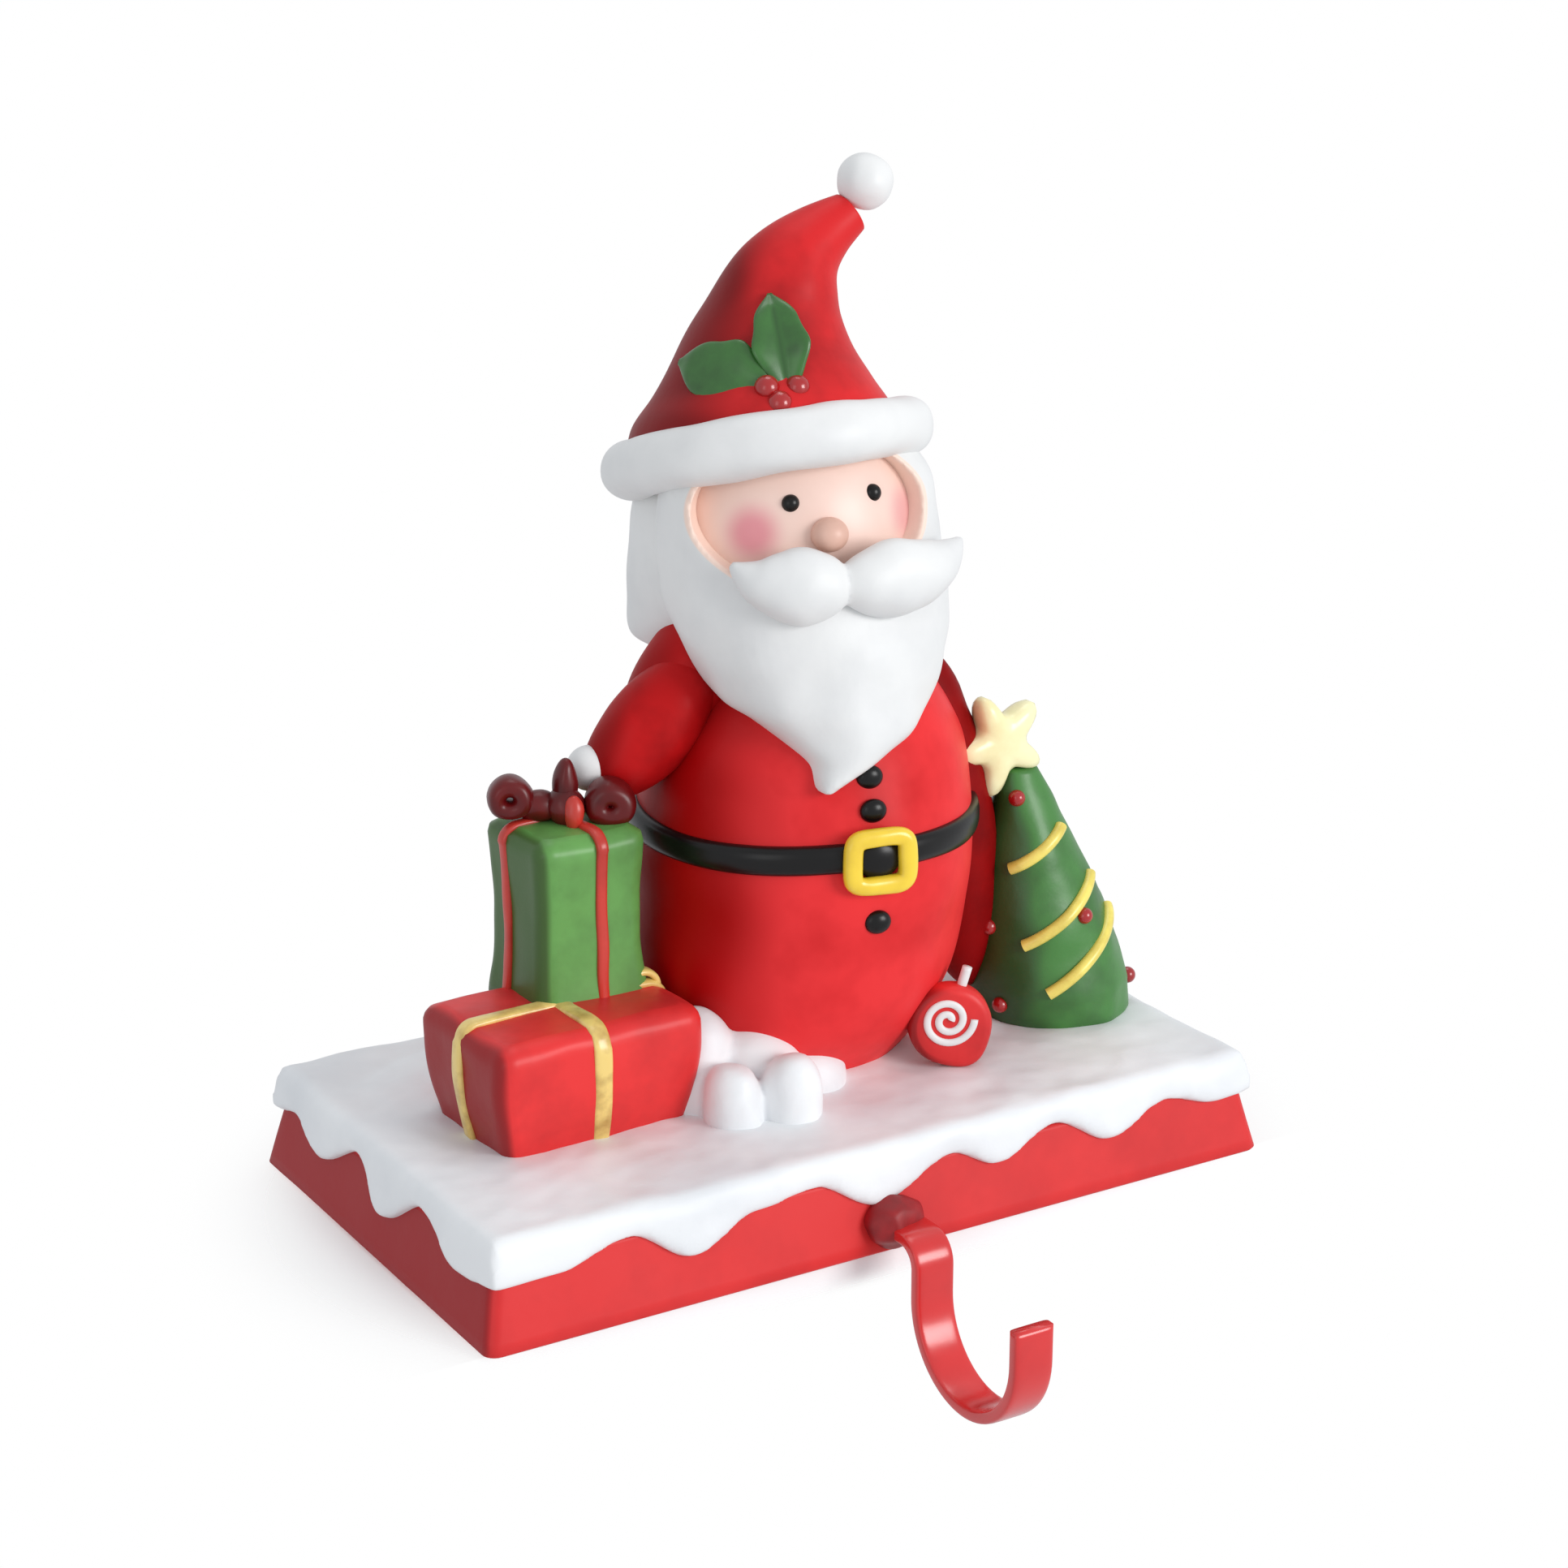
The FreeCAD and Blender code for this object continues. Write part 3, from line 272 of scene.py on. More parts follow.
def skin_rings(rings, loop=False):
    """Corners and faces of a tube through rings of equal count, closed at both ends or on itself."""
    count = len(rings[0])
    verts = [vert for ring in rings for vert in ring]
    faces = []
    for row in range(len(rings) if loop else len(rings) - 1):
        after = (row + 1) % len(rings)
        for step in range(count):
            following = (step + 1) % count
            faces.append((row * count + step, row * count + following,
                          after * count + following, after * count + step))
    if not loop:
        faces.append(tuple(range(count)))
        faces.append(tuple(range(len(verts) - count, len(verts))))
    return verts, faces


def rounded_outline(length, depth, radius, height, long_steps=80, deep_steps=46):
    """Points round a rectangle with round corners, in a set number of steps along each side."""
    points = []
    for x_side, y_side, turn in ((1, -1, 0), (1, 1, 1), (-1, 1, 2), (-1, -1, 3)):
        centre = Vector((x_side * (length / 2 - radius), y_side * (depth / 2 - radius), height))
        for step in range(7):
            angle = math.pi / 2 * (turn - 1 + step / 6)
            points.append(centre + Vector((math.cos(angle), math.sin(angle), 0)) * radius)
        run = (depth if turn % 2 == 0 else length) - 2 * radius
        steps = deep_steps if turn % 2 == 0 else long_steps
        along = Matrix.Rotation(math.pi / 2 * turn, 3, "Z") @ Vector((0, 1, 0))
        last = points[-1]
        points += [last + along * (run * step / steps) for step in range(1, steps)]
    return points


# Without a fixed seed the noise would start from the clock and differ at each run.
noise_seed = 11
noise.seed_set(noise_seed)


def roughen(points, size, amount, seed=0.0):
    """Points moved by smooth noise of a feature size and an amount, as a hand-made thing is."""
    moved = []
    for point in points:
        at = Vector(point) / size + Vector((seed, 2 * seed, 3 * seed))
        moved.append(Vector(point) + noise.noise_vector(at) * amount)
    return moved


def uneven(rings, size, amount, seed=0.0):
    """Rings of a piece, all moved by the same noise."""
    return [roughen(ring, size, amount, seed) for ring in rings]


# The slab's red, with painted shade on its right-hand end and in its hollows.
red_paint = paint("RedPaint", (0.86, 0.18, 0.18), (0.62, 0.08, 0.10), gloss=0.5, mottle=0.4, grain=45,
                  coat=0.05, shine=0.3, sides=1)
rings = []
for level in (pad_proud, 0.9, 3, 6, 9, 12, 14.2, slab_height):
    edge = 0.4 if level == pad_proud else 0
    inset = slab_lean * level + edge
    outline = rounded_outline(slab_length - 2 * inset, slab_depth - 2 * inset, 2.5, level)
    rings.append(outline if level == pad_proud else roughen(outline, 14, 0.18))
solid("Slab", rings, red_paint)

# The snow: a thick white layer cast on the slab, which hangs over its edges in rounded drips
# and lies in low drifts round the figure, mottled with pale grey and with painted grey shade in its hollows.
snow_top = 20.5
snow_paint = paint("SnowPaint", (0.93, 0.935, 0.94), (0.72, 0.74, 0.77), gloss=0.5, mottle=0.3, grain=38,
                   recess_shade=0.7, bump=0.25, coat=0.05)
# Place along each side as a share of its half, then the drip: 1 hangs lowest, -1 stops at the top.
front_drips = ((-1, 0.15), (-0.86, 0.1), (-0.68, -0.8), (-0.53, 1), (-0.36, -0.4), (-0.21, -0.8),
               (-0.05, 0.9), (0.16, -0.7), (0.28, 0.4), (0.45, -0.9), (0.6, 0.7), (0.77, -0.6),
               (0.92, 0.2), (1, 0.15))
right_drips = ((-1, 0.15), (-0.8, 0.3), (-0.5, -0.8), (-0.15, 0.9), (0.15, -0.7), (0.5, 0.8),
               (0.82, -0.3), (1, 0.15))
back_drips = ((1, 0.15), (0.88, 0.2), (0.66, -0.7), (0.42, 0.9), (0.2, -0.6), (0, 0.6), (-0.24, -0.8),
              (-0.46, 0.9), (-0.68, -0.6), (-0.87, 0.3), (-1, 0.15))
left_drips = ((1, 0.15), (0.82, -0.3), (0.54, 0.8), (0.2, -1), (-0.08, 1), (-0.4, -1), (-0.74, 0.5),
              (-1, 0.15))


def smooth_between(places, at):
    """The value at a place between listed places, eased from each to the next."""
    if places[0][0] > places[-1][0]:
        places = places[::-1]
    for (start, first), (end, last) in zip(places, places[1:]):
        if start <= at <= end:
            share = (at - start) / (end - start)
            return first + (last - first) * (3 - 2 * share) * share * share
    return places[-1][1]


half_top_length = slab_length / 2 - slab_height * slab_lean
half_top_depth = slab_depth / 2 - slab_height * slab_lean
edge_walk = []
for places, start, end, out in (
    (front_drips, (-1, -1), (1, -1), (0, -1)), (right_drips, (1, -1), (1, 1), (1, 0)),
    (back_drips, (1, 1), (-1, 1), (0, 1)), (left_drips, (-1, 1), (-1, -1), (-1, 0)),
):
    side_length = 2 * (half_top_length if out[0] == 0 else half_top_depth)
    steps = round(side_length / 1.1)
    for step in range(steps):
        share = step / steps
        spot = Vector(start).lerp(Vector(end), share)
        along = spot.x if out[0] == 0 else spot.y
        # Towards a corner the outward direction turns into the next side's.
        lean = max(0, (abs(along) - 0.96) / 0.04) ** 2 * 0.5
        corner = Vector((math.copysign(1, spot.x), math.copysign(1, spot.y)))
        outward = Vector(out).lerp(corner, lean)
        edge_walk.append((spot, outward, smooth_between(places, along)))


def snow_height(x, y):
    """How high the snow lies at a place on the slab: drifts, and small unevenness."""
    # Place, half length and half depth of each drift as shares of the slab, then its height.
    drifts = ((0.06, 0.1, 0.32, 0.3, 3.6), (0.3, 0.17, 0.14, 0.2, 3.2), (-0.29, 0.22, 0.15, 0.17, 3.2),
              (0.47, 0.4, 0.22, 0.5, 2.8), (-0.14, 0.05, 0.1, 0.16, 4.5))
    rise = 0
    for centre_x, centre_y, half_x, half_y, tall in drifts:
        away = ((x / slab_length - centre_x) / half_x) ** 2 + ((y / slab_depth - centre_y) / half_y) ** 2
        rise = max(rise, tall * max(0, 1 - away) ** 1.2)
    broad = 0.55 * noise.noise(Vector((x / 11, y / 11, 0)))
    fine = 0.25 * noise.noise(Vector((x / 4, y / 4, 5)))
    return snow_top + rise + broad + fine


def sculpt(name, tubes, material, grid=0.7, soften=6, window=None):
    """Overlapping closed tubes pressed into one soft piece, with a window cut out of it if given."""
    verts, faces = [], []
    for rings in tubes:
        more, cells = skin_rings(rings)
        faces += [tuple(corner + len(verts) for corner in cell) for cell in cells]
        verts += more
    piece = modelled(name, verts, faces, material)
    merge = piece.modifiers.new("Press", "REMESH")
    merge.mode = "VOXEL"
    merge.voxel_size = grid * mm
    if window:
        cutter = modelled(name + "Cutter", *skin_rings(window), material)
        trim = piece.modifiers.new("Window", "BOOLEAN")
        trim.operation = "DIFFERENCE"
        trim.solver = "EXACT"
        trim.object = cutter
        again = piece.modifiers.new("PressAgain", "REMESH")
        again.mode = "VOXEL"
        again.voxel_size = grid * mm
    ease = piece.modifiers.new("Ease", "SMOOTH")
    ease.factor = 0.5
    ease.iterations = soften
    plain_mesh(piece)
    if window:
        bpy.data.objects.remove(cutter)
    return join_frame(piece)


drip_top = 15.6
drip_reach = 3.5
rim_swell = 1.9
rim_round = 2.2
rim_rings = []
# Share of the way up the rim from the drip's lower edge.
for share in (0, 0.06, 0.16, 0.3, 0.45, 0.6, 0.72, 0.82, 0.9, 0.96, 1):
    ring = []
    for spot, outward, drip in edge_walk:
        bottom = drip_top - drip_reach * (drip + 1)
        level = bottom + share * (snow_top - bottom)
        wall = slab_lean * (slab_height - min(level, slab_height))
        swell = rim_swell + 0.5 * drip
        bulge = swell * math.sqrt(1 - (1 - min(share / 0.3, 1)) ** 2) - (1.2 if share == 0 else 0)
        over = max(0, (share - 0.5) / 0.5)
        draw = rim_round * (1 - math.sqrt(max(0, 1 - over * over)))
        out = wall + bulge - draw - max(0, level - slab_height) * 0.12
        x = spot.x * half_top_length + outward.x * out
        y = spot.y * half_top_depth + outward.y * out
        ring.append(Vector((x, y, level)))
    rim_rings.append(roughen(ring, 7, 0.35 * min(1, 4 * share), 3.1))
rings = rim_rings[:]
top_rows = 44
for row in range(1, top_rows):
    shrink = 1 - row / top_rows
    settled = min(1, row / 3)
    ring = []
    for point in rim_rings[-1]:
        x, y = point.x * shrink, point.y * shrink
        ring.append(Vector((x, y, point.z + (snow_height(x, y) - point.z) * settled)))
    rings.append(ring)
sculpt("Snow", [rings], snow_paint, grid=0.9, soften=2)

# The coat: a round body of resin, cast in one with the slab, that sits in the snow turned a
# little to its right. It is painted red, with painted shade on its left as seen from the front and in its
# hollows.
figure_x = 15
figure_y = 6
figure_turn = math.radians(-12)
figure_place = Matrix.Translation((figure_x, figure_y, snow_top)) @ Matrix.Rotation(figure_turn, 4, "Z")


def oval_ring(centre, half_width, half_depth, direction=(0, 0, 1), count=48):
    """Points round an oval about a centre, square to a direction."""
    turn = Vector((0, 0, 1)).rotation_difference(Vector(direction)).to_matrix()
    centre = Vector(centre)
    ring = []
    for step in range(count):
        angle = 2 * math.pi * step / count
        ring.append(centre + turn @ Vector((half_width * math.cos(angle), half_depth * math.sin(angle), 0)))
    return ring


def egg(centre, half_width, half_depth, half_height, count=64, rows=40):
    """Rings of an egg, from its foot up."""
    rings = []
    for row in range(1, rows):
        angle = math.pi * (row / rows - 0.5)
        level = Vector(centre) + Vector((0, 0, half_height * math.sin(angle)))
        shrink = math.cos(angle)
        rings.append(oval_ring(level, half_width * shrink, half_depth * shrink, count=count))
    return rings


def placed(place, rings):
    """Rings moved and turned to a place."""
    return [[place @ Vector(point) for point in ring] for ring in rings]


def in_figure(rings):
    """Rings given in the figure's own directions, moved to where it sits."""
    return placed(figure_place, rings)


# The coat's red, with painted shade on the side towards the holder's right-hand end and in its hollows.
coat_paint = paint("CoatPaint", (0.91, 0.21, 0.22), (0.68, 0.03, 0.04), gloss=0.42, mottle=0.6, grain=42,
                   bump=0.2, coat=0.03, shine=0.1, sides=1, reach=0.4)
# Height, how far the ring stands aside, its half width and its half depth.
coat_sections = ((-6, -6, 13.5, 15), (-2, -6.1, 19, 20), (3, -6.1, 23.8, 24), (9, -5.9, 28, 28),
                 (16, -5.3, 30.9, 30.6), (24, -4.5, 32.3, 32.2), (33, -3.3, 32.4, 33), (41, -3.1, 32.5, 32.8),
                 (48, -2.4, 31.6, 31.9), (55, -1.9, 30.3, 30), (62, -1.2, 28.1, 27.3), (70, 0, 22.8, 22.3),
                 (76, 0, 16.4, 16.4), (81, 0, 6, 6))


def through(rows, steps):
    """Rows of numbers drawn smoothly through listed rows."""
    made = []
    last = len(rows) - 1
    for step in range(steps + 1):
        index = min(int(step / steps * last), last - 1)
        part = step / steps * last - index
        values = []
        for before, start, end, after in zip(rows[max(0, index - 1)], rows[index], rows[index + 1],
                                             rows[min(last, index + 2)]):
            slope_in, slope_out = (end - before) / 2, (after - start) / 2
            values.append((2 * part ** 3 - 3 * part ** 2 + 1) * start
                          + (3 * part ** 2 - 2 * part ** 3) * end
                          + (part ** 3 - 2 * part ** 2 + part) * slope_in
                          + (part ** 3 - part ** 2) * slope_out)
        made.append(values)
    return made


rings = []
for level, aside, half_width, half_depth in through(coat_sections, 110):
    rings.append(oval_ring((aside, 0, level), half_width, half_depth, count=120))
rings = uneven(in_figure(rings), 13, 0.5, 1.7)
solid("Coat", rings, coat_paint)

# The sleeves, cast in one with the coat. The right one reaches from a shoulder beside the beard
# to the gifts and ends in a white mitten; the left one hangs in the shade beside the tree.
# The sleeves take darker copies of the coat's red as painted shade: the right sleeve and the shoulder one
# darker, with more painted shade on their left, and the left sleeve, beside the tree, the darkest.
sleeve_shade_paint = paint("SleeveShadePaint", (0.74, 0.08, 0.09), (0.50, 0.02, 0.03), gloss=0.45, mottle=0.8, grain=60,
                     bump=0.2, coat=0.03, shine=0.1, sides=0.8)
shaded_paint = paint("ShadedPaint", (0.56, 0.03, 0.04), (0.36, 0.01, 0.02), gloss=0.5, mottle=0.8, grain=60,
                     bump=0.2, coat=0, shine=0.08)
# White for the mitten, hair, brim and other white parts, with painted grey shade in its hollows.
white_paint = paint("WhitePaint", (0.905, 0.905, 0.90), (0.72, 0.73, 0.745), gloss=0.5, mottle=0.25, grain=50,
                    recess_shade=0.8, bump=0.18, coat=0.05)
# Centre, half width, half length, lean in degrees, and where its unevenness starts.
sleeve_sizes = (("RightSleeve", (-33.5, -3.5, 65.5), 8.4, 16, 44, 4.2, sleeve_shade_paint),
                ("Shoulder", (-25, 1, 73), 9, 17, 35, 2.7, sleeve_shade_paint),
                ("LeftSleeve", (26.5, 0, 40), 9.5, 35, -9, 6.3, shaded_paint))
for name, centre, half_width, half_length, lean, seed, material in sleeve_sizes:
    turn = Matrix.Translation(centre) @ Matrix.Rotation(math.radians(lean), 4, "Y")
    upright = egg((0, 0, 0), half_width, half_width, half_length, 48, 36)
    rings = in_figure([[turn @ point for point in ring] for ring in upright])
    solid(name, uneven(rings, 8, 0.5, seed), material)
mitten_radius = 4.2
mitten = egg((-45.2, -3.9, 59.2), mitten_radius, mitten_radius, mitten_radius, 32, 20)
solid("Mitten", in_figure(mitten), white_paint)

# The belt: a raised band round the coat, modelled on it and painted gloss black.
black_paint = paint("BlackPaint", (0.055, 0.05, 0.05), (0.02, 0.02, 0.02), gloss=0.3, mottle=0.2, coat=0.15,
                    shine=0.25)


def sweep(path, outs, half_width, half_height, square=2.0, count=16, closed=False):
    """Rings of a rail along a path: its outward side follows outs, its corners get squarer above 2."""
    rings = []
    last = len(path) - 1
    for number, (point, out) in enumerate(zip(path, outs)):
        before = path[(number - 1) % len(path)] if closed else path[max(0, number - 1)]
        after = path[(number + 1) % len(path)] if closed else path[min(last, number + 1)]
        along = (after - before).normalized()
        up = (out - along * out.dot(along)).normalized()
        side = along.cross(up)
        ring = []
        for step in range(count):
            angle = 2 * math.pi * (step + 0.5) / count
            c, s = math.cos(angle), math.sin(angle)
            wide = half_width * math.copysign(abs(c) ** (2 / square), c)
            tall = half_height * math.copysign(abs(s) ** (2 / square), s)
            ring.append(point + side * wide + up * tall)
        rings.append(ring)
    return rings


# The egg that the coat's front follows: its widest radius and level, and its half heights.
front_radius = 33
front_level = 36
front_above = 46
front_below = 41


def coat_front(level):
    """How far the coat's front stands out from its middle at a level."""
    half = front_above if level > front_level else front_below
    return front_radius * math.sqrt(1 - ((level - front_level) / half) ** 2)


belt_level = 46
belt_aside = -2.6
belt_squeeze = 0.4
belt_half_width = 2.7
belt_half_thick = 1.9
girth = coat_front(belt_level)
turns = [2 * math.pi * step / 160 for step in range(160)]
outs = [Vector((math.cos(turn), math.sin(turn), 0)) for turn in turns]
path = []
for out, turn in zip(outs, turns):
    reach = girth - 0.3 + 0.15 * math.sin(5 * turn)
    path.append(Vector((belt_aside + out.x * (reach - belt_squeeze), out.y * reach,
                        belt_level + 0.35 * math.sin(3 * turn))))
rings = in_figure(sweep(path, outs, belt_half_width, belt_half_thick, 2.6, closed=True))
solid("Belt", rings, black_paint, loop=True)

# The buckle: a raised square ring in front of the belt, painted gold, round a black stud.
gold_paint = paint("GoldPaint", (0.97, 0.83, 0.22), (0.62, 0.40, 0.08), gloss=0.28, mottle=0.25, grain=120,
                   recess_shade=1.0, coat=0.4)
buckle_half_width = 5.3
buckle_half_height = 4.6
buckle_front = -(girth + 2.0)
path = []
for step in range(72):
    turn = 2 * math.pi * step / 72
    c, s = math.cos(turn), math.sin(turn)
    path.append(Vector((math.copysign(abs(c) ** 0.45, c) * buckle_half_width, buckle_front,
                        belt_level + math.copysign(abs(s) ** 0.45, s) * buckle_half_height)))
outs = [Vector((0, -1, 0))] * len(path)
rings = in_figure(sweep(path, outs, 1.75, 1.5, 2.4, closed=True))
solid("Buckle", uneven(rings, 5, 0.25), gold_paint, loop=True)
stud = egg((0, -girth - 0.9, belt_level), 4.2, 1.6, 3.7, 32, 20)
solid("BuckleStud", in_figure(stud), black_paint)

# The buttons: three round black beads down the front of the coat, modelled on it and picked
# out in gloss paint.
button_levels = (60, 54.3, 34)


def new_recipe(name, numbers):
    """A geometry tree with its named numbers and its paint as inputs, and those inputs."""
    tree = bpy.data.node_groups.new(name, "GeometryNodeTree")
    ports = tree.interface
    ports.new_socket("Geometry", in_out="INPUT", socket_type="NodeSocketGeometry")
    for label, kind, value in numbers:
        ports.new_socket(label, in_out="INPUT", socket_type="NodeSocket" + kind).default_value = value
    ports.new_socket("Paint", in_out="INPUT", socket_type="NodeSocketMaterial")
    ports.new_socket("Geometry", in_out="OUTPUT", socket_type="NodeSocketGeometry")
    return tree, add_node(tree, "NodeGroupInput").outputs


def finish_recipe(tree, given, made):
    """End a geometry tree: its copies become faces of their own and get their paint."""
    real = add_node(tree, "GeometryNodeRealizeInstances", {"Geometry": made})
    painted = add_node(tree, "GeometryNodeSetMaterial", {"Geometry": real.outputs["Geometry"],
                                                         "Material": given["Paint"]})
    add_node(tree, "NodeGroupOutput", {"Geometry": painted.outputs["Geometry"]})
    return tree


def bead_recipe():
    """A geometry tree that sets a painted bead on every point, each a little larger or smaller."""
    tree, given = new_recipe("Beads", (
        ("Width", "Float", 2 * mm), ("Depth", "Float", 2 * mm), ("Height", "Float", 2 * mm),
        ("Turn", "Float", 0.0), ("Unevenness", "Float", 0.04), ("Seed", "Int", 1)))
    ball = add_node(tree, "GeometryNodeMeshUVSphere", {"Segments": 32, "Rings": 20, "Radius": 1})
    sizes = add_node(tree, "ShaderNodeCombineXYZ", {"X": given["Width"], "Y": given["Depth"],
                                                    "Z": given["Height"]})
    smallest = reckon(tree, "SUBTRACT", 1, given["Unevenness"])
    chance = add_node(tree, "FunctionNodeRandomValue", {"Min": smallest, "Max": 1, "Seed": given["Seed"]},
                      data_type="FLOAT")
    scaled = add_node(tree, "ShaderNodeVectorMath", {0: sizes.outputs[0], "Scale": chance.outputs["Value"]},
                      operation="SCALE")
    turned = add_node(tree, "ShaderNodeCombineXYZ", {"Z": given["Turn"]})
    beads = add_node(tree, "GeometryNodeInstanceOnPoints", {
        "Points": given["Geometry"], "Instance": ball.outputs["Mesh"],
        "Rotation": turned.outputs[0], "Scale": scaled.outputs["Vector"]})
    return finish_recipe(tree, given, beads.outputs["Instances"])


def grown(name, points, recipe, settings, edges=()):
    """The plain piece that a geometry tree makes of points in millimetres and the edges between them."""
    mesh = bpy.data.meshes.new(name)
    mesh.from_pydata([Vector(point) * mm for point in points], edges, [])
    piece = bpy.data.objects.new(name, mesh)
    scene.collection.objects.link(piece)
    work = piece.modifiers.new(name, "NODES")
    work.node_group = recipe
    for socket in recipe.interface.items_tree:
        if socket.in_out == "INPUT" and socket.name in settings:
            work[socket.identifier] = settings[socket.name]
    plain_mesh(piece)
    return join_frame(piece)


button_places = [figure_place @ Vector((0, -coat_front(level) - 0.1, level)) for level in button_levels]
bead = bead_recipe()
grown("Buttons", button_places, bead, {"Width": 2.55 * mm, "Depth": 1.5 * mm, "Height": 2.25 * mm,
                                       "Turn": figure_turn, "Seed": 3, "Paint": black_paint})

# The head: a flesh-coloured ball with painted cheeks, two black beads for eyes and a round
# nose, as on a simple doll.
head_place = Vector((-5, 3, 100))
head_radius = 25
skin_paint = paint("SkinPaint", (0.96, 0.84, 0.79), (0.80, 0.60, 0.52), gloss=0.4, mottle=0.2, grain=40,
                   recess_shade=0.6, bump=0.05, coat=0.1)
cheek_colour = (0.87, 0.47, 0.53)
for cheek, strength in (((-18.6, -17.8, 104), 0.8), ((11.8, -15.4, 105), 0.5)):
    tree = skin_paint.node_tree
    place = add_node(tree, "ShaderNodeTexCoord")
    away = add_node(tree, "ShaderNodeVectorMath", {0: place.outputs["Object"],
                                                   1: figure_place @ Vector(cheek) * mm},
                    operation="DISTANCE")
    blush = add_node(tree, "ShaderNodeMapRange", {"Value": away.outputs["Value"], "From Min": 7.5 * mm,
                                                  "From Max": 1.0 * mm, "To Max": strength},
                     interpolation_type="SMOOTHERSTEP")
    over_colour(skin_paint, blush.outputs["Result"], cheek_colour)
solid("Face", in_figure(egg(head_place, head_radius, head_radius, head_radius, 96, 64)), skin_paint)
nose_paint = paint("NosePaint", (0.89, 0.72, 0.65), (0.66, 0.46, 0.38), gloss=0.45, mottle=0.4, coat=0.1)
solid("Nose", in_figure(egg((-5.6, -22.3, 103.7), 3.4, 3.3, 3.1, 40, 28)), nose_paint)
eye_radius = 1.65
# Place across the face, and height over the head's centre.
for name, x, rise in (("EyeRight", -11.7, 9), ("EyeLeft", 4.1, 9.5)):
    y = head_place.y - math.sqrt(head_radius ** 2 - (x - head_place.x) ** 2 - rise ** 2)
    eye = egg((x, y + 0.5, head_place.z + rise), eye_radius, 1.5, eye_radius, 32, 20)
    solid(name, in_figure(eye), black_paint)

# The hair and the beard: thick white locks that hang from under the brim, wrap round the face
# and run to a point on the coat. They are one casting with the head, and only painted white.


def lofted(sections, rows, count=72):
    """Rings drawn through sections of (height, left, right, front, back), seen from the front."""
    rings = []
    for level, left, right, front, back in through(sections, rows):
        centre = ((left + right) / 2, (front + back) / 2, level)
        rings.append(oval_ring(centre, (right - left) / 2, (back - front) / 2, count=count))
    return rings


# Height, left and right edge, front and back.
beard_sections = ((58.2, -9.9, -7.6, -31.6, -25), (60.5, -10, -3.5, -32.2, -19), (63, -10.6, 3, -32.3, -12),
                  (66, -14, 9.6, -32, -6), (69, -18, 14, -31.5, -1), (73, -23.3, 17.2, -31, 5),
                  (78, -26.4, 20, -30.4, 10), (84, -29.2, 21.9, -29.5, 14), (90, -30.9, 22.1, -28, 15),
                  (96, -31.5, 21.7, -26, 15), (104, -31.7, 20.6, -24.5, 14), (110, -31, 19.4, -23, 12),
                  (116, -28, 16, -19, 9))
window_centre = Vector((-7.8, -37, 107.5))
window_sizes = Vector((25.6, 40, 14.5))
window = egg(window_centre, *window_sizes, 96, 64)
# The flesh colour runs a little over the edge of the beard round the face.
beard_paint = white_paint.copy()
beard_paint.name = "BeardPaint"
tree = beard_paint.node_tree
place = add_node(tree, "ShaderNodeTexCoord")
inside = add_node(tree, "ShaderNodeMapping", {"Vector": place.outputs["Object"],
                                              "Location": figure_place @ window_centre * mm,
                                              "Rotation": (0, 0, figure_turn), "Scale": window_sizes * mm},
                  vector_type="TEXTURE")
away = add_node(tree, "ShaderNodeVectorMath", {0: inside.outputs["Vector"]}, operation="LENGTH")
edge = add_node(tree, "ShaderNodeMapRange", {"Value": away.outputs["Value"], "From Min": 1.05,
                                             "From Max": 1.035})
over_colour(beard_paint, edge.outputs["Result"], (0.97, 0.86, 0.80))
beard = uneven(lofted(beard_sections, 110), 8, 0.6, 8.8)
sculpt("Beard", [in_figure(beard)], beard_paint, grid=0.55, soften=3, window=in_figure(window))
hair_sections = ((76.5, -26, 15, 1, 24), (77.5, -30.5, 20, -2, 29), (80, -32.2, 22, -5, 31),
                 (86, -32.4, 22.4, -10, 32), (95, -32.5, 22.5, -13.5, 32.5), (102, -32, 22, -13, 32),
                 (107, -30, 19.6, -11, 30), (112, -22, 12, -6, 22))
hair = uneven(lofted(hair_sections, 60), 10, 0.6, 2.2)
sculpt("Hair", [in_figure(hair)], white_paint, grid=0.8, soften=3)

# The moustache: two fat white lobes that part under the nose, wrap round the beard and curl up
# at their tips.
moustache_middle = -5
moustache_level = 96
moustache_front = -28.2
wrap_radius = 31.8
wrap_depth = 21.7
lobe_steps = 48
# Share of the length out from under the nose, then lift, half height and half depth.
lobe_sections = ((-0.05, 0, 2.6, 2.2), (0.1, 0, 5.2, 4.2), (0.26, 0, 6.6, 5.1), (0.42, 0.2, 7, 5.4),
                 (0.6, 0.5, 6.1, 5), (0.78, 1.4, 4.4, 3.8), (0.91, 2.9, 2.4, 2.3), (1, 4.3, 0.7, 0.8))
lobes = []
for side, length in ((-1, 19.4), (1, 25.2)):
    path, sizes = [], []
    for share, lift, tall, thick in through(lobe_sections, lobe_steps):
        out = share * length
        back = wrap_depth * (1 - math.sqrt(1 - (out / wrap_radius) ** 2))
        path.append(Vector((moustache_middle + side * out, back + moustache_front, moustache_level + lift)))
        sizes.append((tall, thick))
    rings = []
    for number, (point, (tall, thick)) in enumerate(zip(path, sizes)):
        along = (path[min(lobe_steps, number + 1)] - path[max(0, number - 1)]).normalized()
        out = Vector((0, -1, 0)) - along * along.dot(Vector((0, -1, 0)))
        out.normalize()
        up = along.cross(out) * side
        rings.append([point + up * (tall * math.cos(2 * math.pi * step / 36))
                      + out * (thick * math.sin(2 * math.pi * step / 36)) for step in range(36)])
    lobes.append(in_figure(uneven(rings, 6, 0.35, 1.3)))
sculpt("Moustache", lobes, white_paint, grid=0.45, soften=2)

